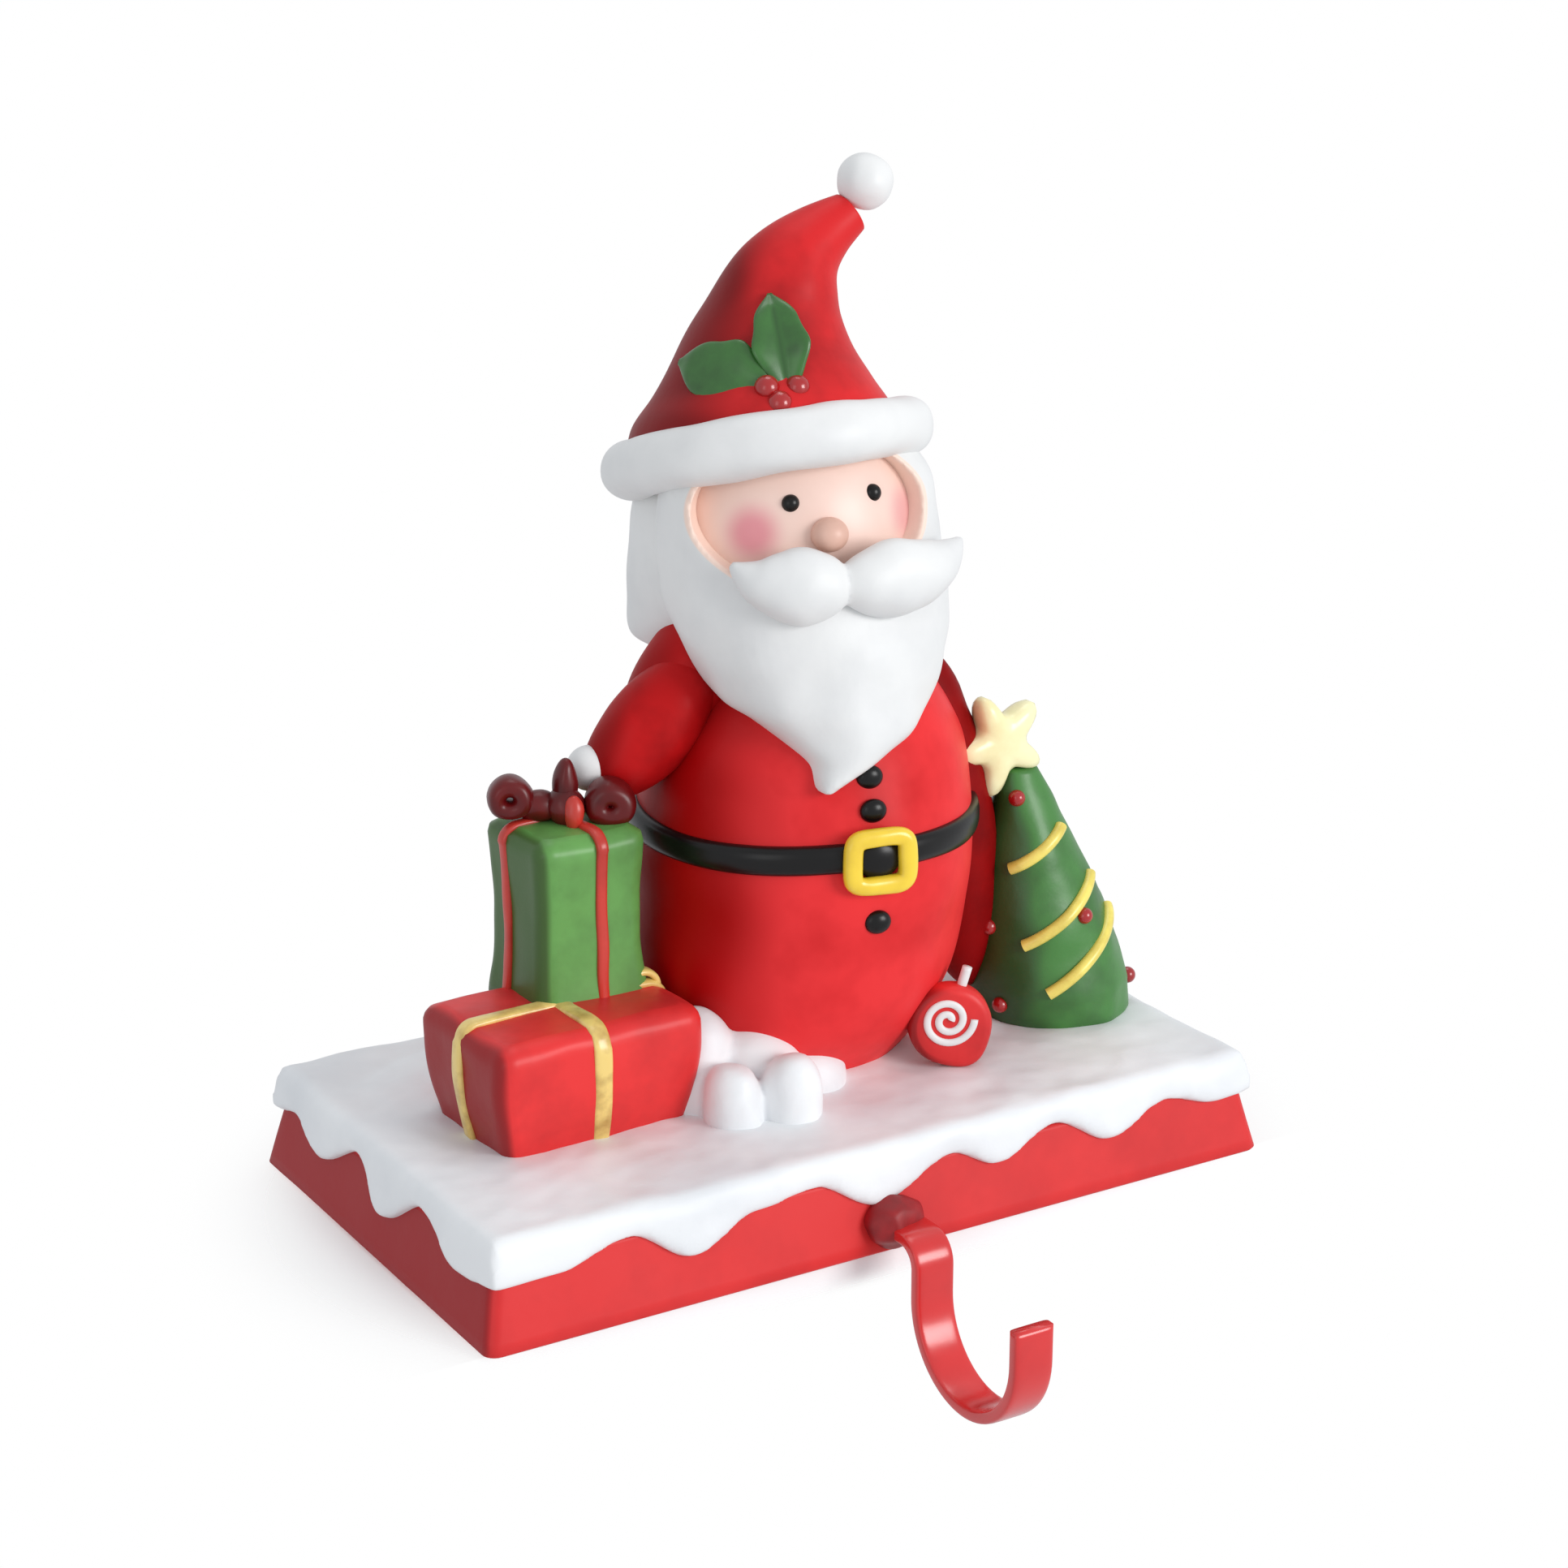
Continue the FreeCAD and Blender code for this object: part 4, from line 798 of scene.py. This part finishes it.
# The hat: a red cone that curls over to the figure's left, with a thick white rolled brim and a
# white pompom, cast in one with the head.
brim_tilt = math.radians(-16.5)
hat_level = 113.4
brim_place = (Matrix.Translation((-7.6, 5, hat_level + 0.4))
              @ Matrix.Rotation(brim_tilt, 4, Vector((1, 0.25, 0))))
# Rise, sideways place, set back, radius and lean in degrees.
crown_sections = ((-1.7, -8.6, 5, 26, 0), (5.4, -8.2, 6.2, 24.2, 0), (11.5, -7.8, 7, 20.2, 0),
                  (18.3, -7.2, 7.8, 16, 3), (24.7, -5.8, 8.4, 12.7, 8), (30.4, -3.5, 8.7, 10.4, 18),
                  (35.2, -0.2, 9, 8, 32), (39, 4.6, 9, 5.7, 46), (42, 9.8, 9, 3.9, 55))
rings = []
for rise, x, y, radius, lean in through(crown_sections, 96):
    side = math.sin(math.radians(lean))
    direction = (side, -math.sin(brim_tilt) * (1 - side), math.cos(math.radians(lean)))
    rings.append(oval_ring((x, y, hat_level + rise), radius, radius, direction, 72))
# The hat's red, with painted shade on its left as seen from the front, reaching far round it.
hat_paint = paint("HatPaint", (0.84, 0.15, 0.16), (0.50, 0.07, 0.08), gloss=0.45, mottle=0.6, grain=55,
                  bump=0.2, coat=0.03, shine=0.15, sides=1, reach=0.35)
solid("Hat", uneven(in_figure(rings), 12, 0.5, 5.5), hat_paint)
brim_radius = 24.8
turns = [2 * math.pi * step / 180 for step in range(180)]
outs = [Vector((math.cos(turn), math.sin(turn), 0)) for turn in turns]
path = [brim_place @ (out * brim_radius) for out in outs]
rings = sweep(path, [brim_place.to_3x3() @ out for out in outs], 5.5, 5.8, 2.2, 40, closed=True)
rings = uneven(in_figure(rings), 9, 0.55, 7.1)
solid("Brim", rings, white_paint, loop=True)
pompom_radius = 5.2
pompom = in_figure(egg((12.4, 8.8, 160.8), pompom_radius, pompom_radius, pompom_radius, 48, 32))
solid("Pompom", uneven(pompom, 4, 0.25), white_paint)

# The holly: two painted leaves and three red berries, modelled on the hat just over its brim.
leaf_paint = paint("LeafPaint", (0.20, 0.42, 0.16), (0.08, 0.20, 0.07), gloss=0.35, mottle=0.5, grain=160,
                   recess_shade=1.0, coat=0.3)
berry_paint = paint("BerryPaint", (0.66, 0.07, 0.08), (0.34, 0.02, 0.03), gloss=0.2, mottle=0.3, coat=0.6)


def leaf(name, root, tip, normal, half_width, fold, thickness=1.3):
    """A leaf from root to tip, folded up by a share along its middle, thick enough to be cast."""
    along = tip - root
    length = along.length
    along.normalize()
    up = (normal - along * normal.dot(along)).normalized()
    side = along.cross(up)
    rings = []
    for step in range(33):
        share = step / 32
        scallop = 1 + 0.06 * math.cos(5 * math.pi * share)
        wide = half_width * max(0.04, math.sin(math.pi * share ** 0.85)) ** 0.75 * scallop
        ring = []
        for spoke in range(24):
            angle = 2 * math.pi * spoke / 24
            across = math.cos(angle)
            height = fold * abs(across) * wide + math.sin(angle) * thickness * min(1, wide / half_width * 2)
            arch = 1.2 * math.sin(math.pi * share)
            ring.append(root + along * (share * length) + side * (across * wide) + up * (height + arch))
        rings.append(ring)
    return solid(name, in_figure(rings), leaf_paint)


leaf("HollySide", Vector((-13, -12.4, 128.2)), Vector((-25.8, 1, 131.6)), Vector((-0.6, -0.7, 0.4)),
     6.3, 0.12)
leaf("HollyUp", Vector((-9.8, -12.2, 127.2)), Vector((-9.9, -2.4, 143.4)), Vector((-0.25, -0.85, 0.45)),
     5, 0.5)
berry_radius = 2.35
berry_places = [figure_place @ Vector(place) for place in
                ((-13.9, -12.6, 128.6), (-12.3, -14.8, 126.1), (-8.4, -13, 128.4))]
grown("Berries", berry_places, bead, {"Width": berry_radius * mm, "Depth": berry_radius * mm,
                                      "Height": berry_radius * mm, "Seed": 5, "Paint": berry_paint})

# The lower gift: a low red parcel with soft edges, drawn in at its foot and cast on the snow. Two
# gold ribbons cross over it, and one end curls up behind the knot.
snow_sink = 1.7
low_gift = Matrix.Translation((-44, -2.6, snow_top - snow_sink)) @ Matrix.Rotation(math.radians(2), 4, "Z")
low_size = Vector((41.8, 30.6, 22.8))
low_swell = 0.8
low_taper = 2.2
edge_radius = 3.2
# The red of the lower gift and the sweet, with painted shade on their left faces that reaches well round the
# corners.
parcel_paint = paint("ParcelPaint", (0.90, 0.20, 0.20), (0.60, 0.10, 0.11), gloss=0.42, mottle=0.5, grain=55,
                     bump=0.2, coat=0.05, shine=0.3, sides=1, reach=0.2)
tape_paint = paint("TapePaint", (0.94, 0.82, 0.48), (0.60, 0.42, 0.14), gloss=0.3, mottle=0.75, grain=190,
                   recess_shade=1.0, bump=0.3, coat=0.4)


def parcel(name, place, size, middle, material, seed, taper=0):
    """A wrapped box with soft edges: its sides swell at half height or draw in there, and taper down."""
    rings = []
    rows = 24
    for row in range(rows + 1):
        share = row / rows
        bow = middle * math.sin(math.pi * share) - taper * (1 - share) ** 1.5
        top = max(0, share * size.z - (size.z - edge_radius)) / edge_radius
        draw = edge_radius * (1 - math.sqrt(max(0, 1 - top * top))) * 0.9
        spread = 2 * (bow - draw)
        rings.append(rounded_outline(size.x + spread, size.y + spread, max(0.8, 3.3 - draw * 0.6),
                                     share * size.z, 30, 24))
    last = rings[-1]
    for shrink in (0.96, 0.85, 0.6, 0.3, 0.05):
        crown = size.z + 0.25 * (1 - shrink)
        rings.append([Vector((point.x * shrink, point.y * shrink, crown)) for point in last])
    return solid(name, placed(place, uneven(rings, 9, 0.45, seed)), material)


def ribbon(name, place, size, middle, across, width, material, stand=0.75, seed=1.0, taper=0, aside=0):
    """A ribbon up one side of a parcel, over its top and down the other side."""
    half = (size.y if across == "y" else size.x) / 2
    path, outs = [], []
    corner = 3.4
    for step in range(17):
        share = step / 16
        level = share * (size.z - corner)
        out = middle * math.sin(math.pi * level / size.z) - taper * (1 - level / size.z) ** 1.5
        path.append((-half - out, level))
        outs.append((-1, 0))
    for step in range(1, 9):
        angle = math.pi / 2 * step / 8
        path.append((-half + corner - corner * math.cos(angle), size.z - corner + corner * math.sin(angle)))
        outs.append((-math.cos(angle), math.sin(angle)))
    for step in range(1, 9):
        path.append((-half + corner + (half - corner) * step / 8, size.z + 0.1))
        outs.append((0, 1))
    path += [(-side, level) for side, level in path[-2::-1]]
    outs += [(-side, level) for side, level in outs[-2::-1]]
    if across == "y":
        path = [Vector((aside, side, level)) for side, level in path]
        outs = [Vector((0, side, level)) for side, level in outs]
    else:
        path = [Vector((side, aside, level)) for side, level in path]
        outs = [Vector((side, 0, level)) for side, level in outs]
    rings = sweep(path, outs, width / 2, stand, 3.0, 16)
    return solid(name, placed(place, uneven(rings, 8, 0.4, seed)), material)


parcel("LowerGift", low_gift, low_size, low_swell, parcel_paint, 2.4, low_taper)
ribbon("LowerRibbonFront", low_gift, low_size, low_swell, "y", 3.4, tape_paint, taper=low_taper, aside=-0.4)
ribbon("LowerRibbonSide", low_gift, low_size, low_swell, "x", 3.4, tape_paint, seed=2.6, taper=low_taper)
curl_place = 16.5
path, outs = [], []
for step in range(17):
    angle = math.pi * step / 16
    outs.append(Vector((-math.cos(angle), 0, math.sin(angle))))
    path.append(low_gift @ Vector((curl_place - 3.4 * math.cos(angle), 0.5,
                                   low_size.z - 0.6 + 3 * math.sin(angle))))
solid("LowerRibbonCurl", sweep(path, outs, 1.7, 0.7, 3, 16), tape_paint)

# The upper gift: a tall green parcel drawn in at its waist, standing on the lower one and tied
# with a narrow red ribbon.
gift_overlap = 2.8
top_gift = (Matrix.Translation((-37.5, 7.2, snow_top - snow_sink + low_size.z - gift_overlap))
            @ Matrix.Rotation(math.radians(1.5), 4, "Z"))
top_size = Vector((23, 23, 33.5))
top_swell = -0.9
# The upper gift's green, with painted shade on its left faces that reaches round the corners.
green_paint = paint("GreenPaint", (0.40, 0.63, 0.32), (0.25, 0.38, 0.17), gloss=0.4, mottle=0.6, grain=70,
                    coat=0.1, shine=0.35, sides=1, reach=0.15)
ribbon_paint = paint("RibbonPaint", (0.80, 0.22, 0.17), (0.50, 0.07, 0.07), gloss=0.35, mottle=0.4, grain=90)
parcel("UpperGift", top_gift, top_size, top_swell, green_paint, 5.1)
ribbon("UpperRibbonFront", top_gift, top_size, top_swell, "y", 2.3, ribbon_paint, seed=3.3, aside=1.2)
ribbon("UpperRibbonSide", top_gift, top_size, top_swell, "x", 2.3, ribbon_paint, seed=4.4, aside=2.4)

# The bow: two rolled loops of wide dark red ribbon with a knot, a tuft and two short ends, all
# modelled in one lump on the upper gift.
bow_turn = math.radians(-28)
bow_place = top_gift @ Matrix.Rotation(bow_turn, 4, "Z")
bow_paint = paint("BowPaint", (0.40, 0.05, 0.06), (0.20, 0.01, 0.02), gloss=0.35, mottle=0.6, grain=110,
                  coat=0.2, shine=0.3)
# Side, the loop's middle, its level, and half the thickness of its ribbon.
loops = (("BowLoopRight", -1, 9.6, 38.1, 1.85), ("BowLoopLeft", 1, 8.2, 36.6, 2.35))
for name, side, middle, level, band in loops:
    path, outs = [], []
    for step in range(40):
        turn = 2 * math.pi * step / 40
        c, s = math.cos(turn), math.sin(turn)
        path.append(Vector((side * (middle + 2.4 * c), 0, level + 2.2 * s)))
        outs.append(Vector((side * c, 0, s)))
    rings = uneven(sweep(path, outs, 3.4, band, 2.4, 20, closed=True), 5, 0.4)
    solid(name, placed(bow_place, rings), bow_paint, loop=True)
# Middle and half sizes of each lump between the loops.
knot = (("BowKnot", (0.2, -0.6, 36.2), (3.6, 3.6, 3.8), bow_paint),
        ("BowTuft", (0.2, 0, 40.2), (2.3, 2.4, 4.8), bow_paint),
        ("BowFold", (-4.6, 0.2, 36.2), (4.4, 3, 2.9), bow_paint),
        ("BowTail", (1.6, -3.2, 35.6), (1.9, 1.8, 3.4), ribbon_paint))
for name, middle, sizes, material in knot:
    rings = uneven(egg(middle, *sizes, 32, 20), 4, 0.4)
    solid(name, placed(bow_place, rings), material)

# The tree: a plump green cone that leans towards the figure, cast on the snow, with three raised
# gold garlands across its front and red baubles on it.
tree_foot = Vector((63.2, -4.2, snow_top))
tree_lean = -9
tree_tall = 50
tree_radius = 16.3
# The tree's green, with painted shade on its left side.
fir_paint = paint("FirPaint", (0.25, 0.49, 0.21), (0.12, 0.25, 0.10), gloss=0.42, mottle=0.6, grain=75,
                  bump=0.35, coat=0.15, sides=0.8, reach=0.3)
garland_paint = paint("GarlandPaint", (0.95, 0.88, 0.42), (0.66, 0.52, 0.12), gloss=0.35, mottle=0.5,
                      grain=170, recess_shade=1.0, coat=0.3)
# Height as a share of the tree's, and the radius there as a share of the widest.
fir_shares = ((-0.05, 0.86), (0.0, 0.95), (0.13, 1), (0.45, 0.8), (0.78, 0.48), (1, 0.22))


def fir_ring(share):
    """Centre and radius of the tree at a share of its height, straight between listed shares."""
    for (start, first), (end, last) in zip(fir_shares, fir_shares[1:]):
        if share <= end:
            radius = first + (last - first) * (share - start) / (end - start)
            break
    return tree_foot + Vector((tree_lean * share, 0, tree_tall * share)), radius * tree_radius


rings = []
for row in range(61):
    share = -0.05 + 1.05 * row / 60
    centre, radius = fir_ring(share)
    rings.append(oval_ring(centre, radius, radius, count=72))
solid("Tree", uneven(rings, 8, 0.7, 3.9), fir_paint)


def cord_recipe():
    """A geometry tree that runs a round cord along every line of edges, rounded off at both ends."""
    tree, given = new_recipe("Cords", (
        ("Thickness", "Float", 1 * mm), ("Steps", "Int", 96), ("End Sharpness", "Float", 30.0)))
    line = add_node(tree, "GeometryNodeMeshToCurve", {"Mesh": given["Geometry"]})
    even = add_node(tree, "GeometryNodeResampleCurve", {"Curve": line.outputs["Curve"],
                                                        "Count": given["Steps"]})
    # Full thickness along the middle, easing to nothing at both ends.
    along = add_node(tree, "GeometryNodeSplineParameter").outputs["Factor"]
    from_middle = reckon(tree, "ABSOLUTE", reckon(tree, "SUBTRACT", reckon(tree, "MULTIPLY", along, 2), 1))
    ease = reckon(tree, "SUBTRACT", 1, reckon(tree, "POWER", from_middle, given["End Sharpness"]))
    fullness = reckon(tree, "SQRT", reckon(tree, "MAXIMUM", ease, 0.03))
    full = add_node(tree, "GeometryNodeSetCurveRadius", {"Curve": even.outputs["Curve"], "Radius": fullness})
    circle = add_node(tree, "GeometryNodeCurvePrimitiveCircle", {"Resolution": 20,
                                                                 "Radius": given["Thickness"]})
    cord = add_node(tree, "GeometryNodeCurveToMesh", {
        "Curve": full.outputs["Curve"], "Profile Curve": circle.outputs["Curve"], "Fill Caps": True})
    return finish_recipe(tree, given, cord.outputs["Mesh"])


garland_slope = math.tan(math.radians(35))
# Directions round the tree in degrees where each garland starts and ends, and its share of the height there.
garlands = ((-146, -66, 0.634), (-137, -46, 0.342), (-123, -31, 0.155))
garland_points, garland_edges = [], []
for turn_start, turn_end, share_start in garlands:
    centre, radius = fir_ring(share_start)
    start = centre.x + radius * math.cos(math.radians(turn_start))
    share = share_start
    for step in range(37):
        turn = math.radians(turn_start + (turn_end - turn_start) * step / 36)
        out = Vector((math.cos(turn), math.sin(turn), 0))
        # The band lies in a slanting plane, so its height follows from how far across it is.
        for _ in range(12):
            centre, radius = fir_ring(share)
            share = share_start + (centre.x + radius * out.x - start) * garland_slope / tree_tall
        if step:
            garland_edges.append((len(garland_points) - 1, len(garland_points)))
        garland_points.append(centre + out * (radius + 0.2))
grown("Garlands", garland_points, cord_recipe(), {"Thickness": 1.2 * mm, "Paint": garland_paint},
      garland_edges)
bauble_radius = 1.65
# Direction round the tree in degrees, and share of its height.
baubles = ((-133, 0.9), (-80, 0.44), (-168, 0.39), (-160, 0.08), (-28, 0.1), (60, 0.5), (120, 0.2))
bauble_places = []
for turn, share in baubles:
    centre, radius = fir_ring(share)
    angle = math.radians(turn)
    bauble_places.append(centre + Vector((math.cos(angle), math.sin(angle), 0)) * radius)
grown("Baubles", bauble_places, bead, {"Width": bauble_radius * mm, "Depth": bauble_radius * mm,
                                       "Height": bauble_radius * mm, "Seed": 7, "Paint": berry_paint})

# The star: a fat five-pointed star with soft points, cast on the tree's tip, a little aslant, and
# painted pale yellow.
star_paint = paint("StarPaint", (0.98, 0.96, 0.76), (0.84, 0.66, 0.20), gloss=0.3, mottle=0.25, grain=120,
                   recess_shade=1.0, coat=0.3)
star_place = tree_foot + Vector((tree_lean - 5.4, -1, tree_tall + 5.6))
star_inner = 5.7
star_point = 4.7
star_half_thick = 3
star_turn = math.radians(24)
star_rings = []
# Depth from the star's middle as a share of its half thickness, and how far it is drawn in there.
for depth, scale in ((-1, 0.35), (-0.95, 0.72), (-0.7, 0.92), (-0.3, 1), (0.3, 1), (0.7, 0.92), (0.95, 0.72),
                     (1, 0.35)):
    ring = []
    for step in range(80):
        turn = 2 * math.pi * step / 80
        point_share = (1 + math.cos(5 * turn)) / 2
        radius = (star_inner + star_point * point_share ** 1.5) * scale
        angle = turn + math.pi / 2 + star_turn
        ring.append(star_place + Vector((radius * math.cos(angle), star_half_thick * depth,
                                         radius * math.sin(angle))))
    star_rings.append(ring)
solid("Star", star_rings, star_paint)

# The lollipop: a round red sweet with a raised white swirl, leaning on the coat's foot, and the
# white stick behind it.
sweet_place = (Matrix.Translation((27.8, -21, snow_top + 8.4)) @ Matrix.Rotation(math.radians(-26), 4, "Z"))
sweet_radius = 7.9
sweet_half = 2.6
rings = []
for depth, scale in ((-1, 0.5), (-1, 0.8), (-0.9, 0.93), (-0.5, 1), (0.5, 1), (0.9, 0.93), (1, 0.8),
                     (1, 0.5)):
    ring = []
    for step in range(72):
        turn = 2 * math.pi * step / 72
        drop = 1 + 0.16 * max(0, math.cos(turn + math.radians(60))) ** 9
        ring.append(sweet_place @ Vector((sweet_radius * scale * drop * math.cos(turn), sweet_half * depth,
                                          sweet_radius * scale * drop * math.sin(turn))))
    rings.append(ring)
solid("Sweet", rings, parcel_paint)
swirl_turns = 2
swirl_start = 0.6
swirl_reach = 4.4
path = []
for step in range(97):
    turn = 2 * math.pi * swirl_turns * step / 96
    reach = swirl_start + swirl_reach * step / 96
    path.append(sweet_place @ Vector((reach * math.cos(turn) - 0.6, -sweet_half,
                                      reach * math.sin(turn) + 1.5)))
outs = [sweet_place.to_3x3() @ Vector((0, -1, 0))] * len(path)
solid("Swirl", sweep(path, outs, 0.72, 0.5, 2.2, 12), white_paint)
stick_radius = 0.95
stick_foot = sweet_place @ Vector((1.1, 0.2, 3.2))
stick_tip = sweet_place @ Vector((3.3, 0.2, 11))
path = [stick_foot.lerp(stick_tip, step / 12) for step in range(13)]
rings = sweep(path, [Vector((0, -1, 0))] * 13, stick_radius, stick_radius, 2, 20)
solid("Stick", rings, white_paint)

# The snow heaps: two soft lumps in front of the coat and the bank behind them, which falls away
# from the lower gift to the right. They are one casting with the snow and painted as it is.
# Place, half width, half depth and height of each heap, and how square it is.
heap_sizes = ((-19.6, -21.6, 5.2, 6, 10.5, 2.9), (-8.9, -24.6, 5.4, 6, 11.4, 3), (-20, -8.5, 8.5, 9, 17, 2.2),
              (-9.5, -12, 10, 11, 12.5, 2.2), (1, -12.5, 8, 8, 8.4, 2.2))
heaps = []
for x, y, half_x, half_y, tall, square in heap_sizes:
    rings = []
    for row in range(1, 40):
        angle = math.pi * (row / 40 - 0.5)
        level = snow_top + math.copysign(abs(math.sin(angle)) ** (2 / square), angle) * tall
        shrink = math.cos(angle) ** (2 / square)
        rings.append([Vector((x + half_x * shrink * math.cos(2 * math.pi * step / 48),
                              y + half_y * shrink * math.sin(2 * math.pi * step / 48), level))
                      for step in range(48)])
    heaps.append(uneven(rings, 6, 0.6, 9.9))
sculpt("SnowHeaps", heaps, snow_paint, grid=0.7, soften=14)

# The hook: a flat steel strip bent cold into a wide round and painted red, which hangs in front
# of the shelf. Its tang is bonded into a socket in the slab's front.
hook_low, hook_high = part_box("stocking_hook")
strip_thick = 2.4
strip_wide = (hook_high.x - hook_low.x) / mm
seat_end = hook_high.y / mm
tang_level = hook_high.z / mm - strip_thick / 2
bend_radius = 4.5
round_radius = 15
far_leg = hook_low.y / mm + strip_thick / 2
near_leg = far_leg + 2 * round_radius
round_level = hook_low.z / mm + strip_thick / 2 + round_radius
tip_rise = 6.7
path, outs = [], []
for step in range(9):
    path.append(Vector((0, seat_end + (near_leg + bend_radius - seat_end) * step / 8, tang_level)))
    outs.append(Vector((0, 0, 1)))
for step in range(1, 13):
    angle = math.pi / 2 * step / 12
    outs.append(Vector((0, -math.sin(angle), math.cos(angle))))
    path.append(Vector((0, near_leg + bend_radius, tang_level - bend_radius)) + outs[-1] * bend_radius)
for step in range(1, 5):
    path.append(Vector((0, near_leg, tang_level - bend_radius
                        + (round_level - tang_level + bend_radius) * step / 4)))
    outs.append(Vector((0, -1, 0)))
for step in range(1, 41):
    angle = math.pi * step / 40
    inward = Vector((0, -math.cos(angle), math.sin(angle)))
    path.append(Vector((0, near_leg - round_radius, round_level)) - inward * round_radius)
    outs.append(inward)
for step in range(1, 7):
    path.append(Vector((0, far_leg, round_level + tip_rise * step / 6)))
    outs.append(Vector((0, 1, 0)))
hook_paint = paint("HookPaint", (0.84, 0.15, 0.15), (0.62, 0.07, 0.08), gloss=0.25, mottle=0.3, grain=70,
                   recess_shade=0.3, coat=0.5)
rings = sweep(path, outs, strip_wide / 2, strip_thick / 2, 6, 32)
solid("Hook", rings, hook_paint, "stocking_hook")

# The collar: a rough lump of resin on the slab's front, round the root of the hook, cast in one
# with the slab and coloured a darker red than it.
collar_paint = paint("CollarPaint", (0.60, 0.05, 0.08), (0.28, 0.01, 0.02), gloss=0.5, mottle=0.6, grain=150,
                     bump=0.3, coat=0)
collar = egg((-1.5, -slab_depth / 2 + 0.4, 6.3), 5.8, 4.3, 4.8, 48, 32)
solid("Collar", uneven(collar, 3.5, 0.7), collar_paint)

# The felt pad: a green sheet glued in the recess under the slab. It keeps the CAD node's own
# shape, and only its finish is made here.
felt = paint("FeltFinish", (0.13, 0.30, 0.18), (0.08, 0.20, 0.12), gloss=0.95, mottle=0.5, grain=400, coat=0)
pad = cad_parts["felt_pad"]
pad.data.materials.clear()
pad.data.materials.append(felt)
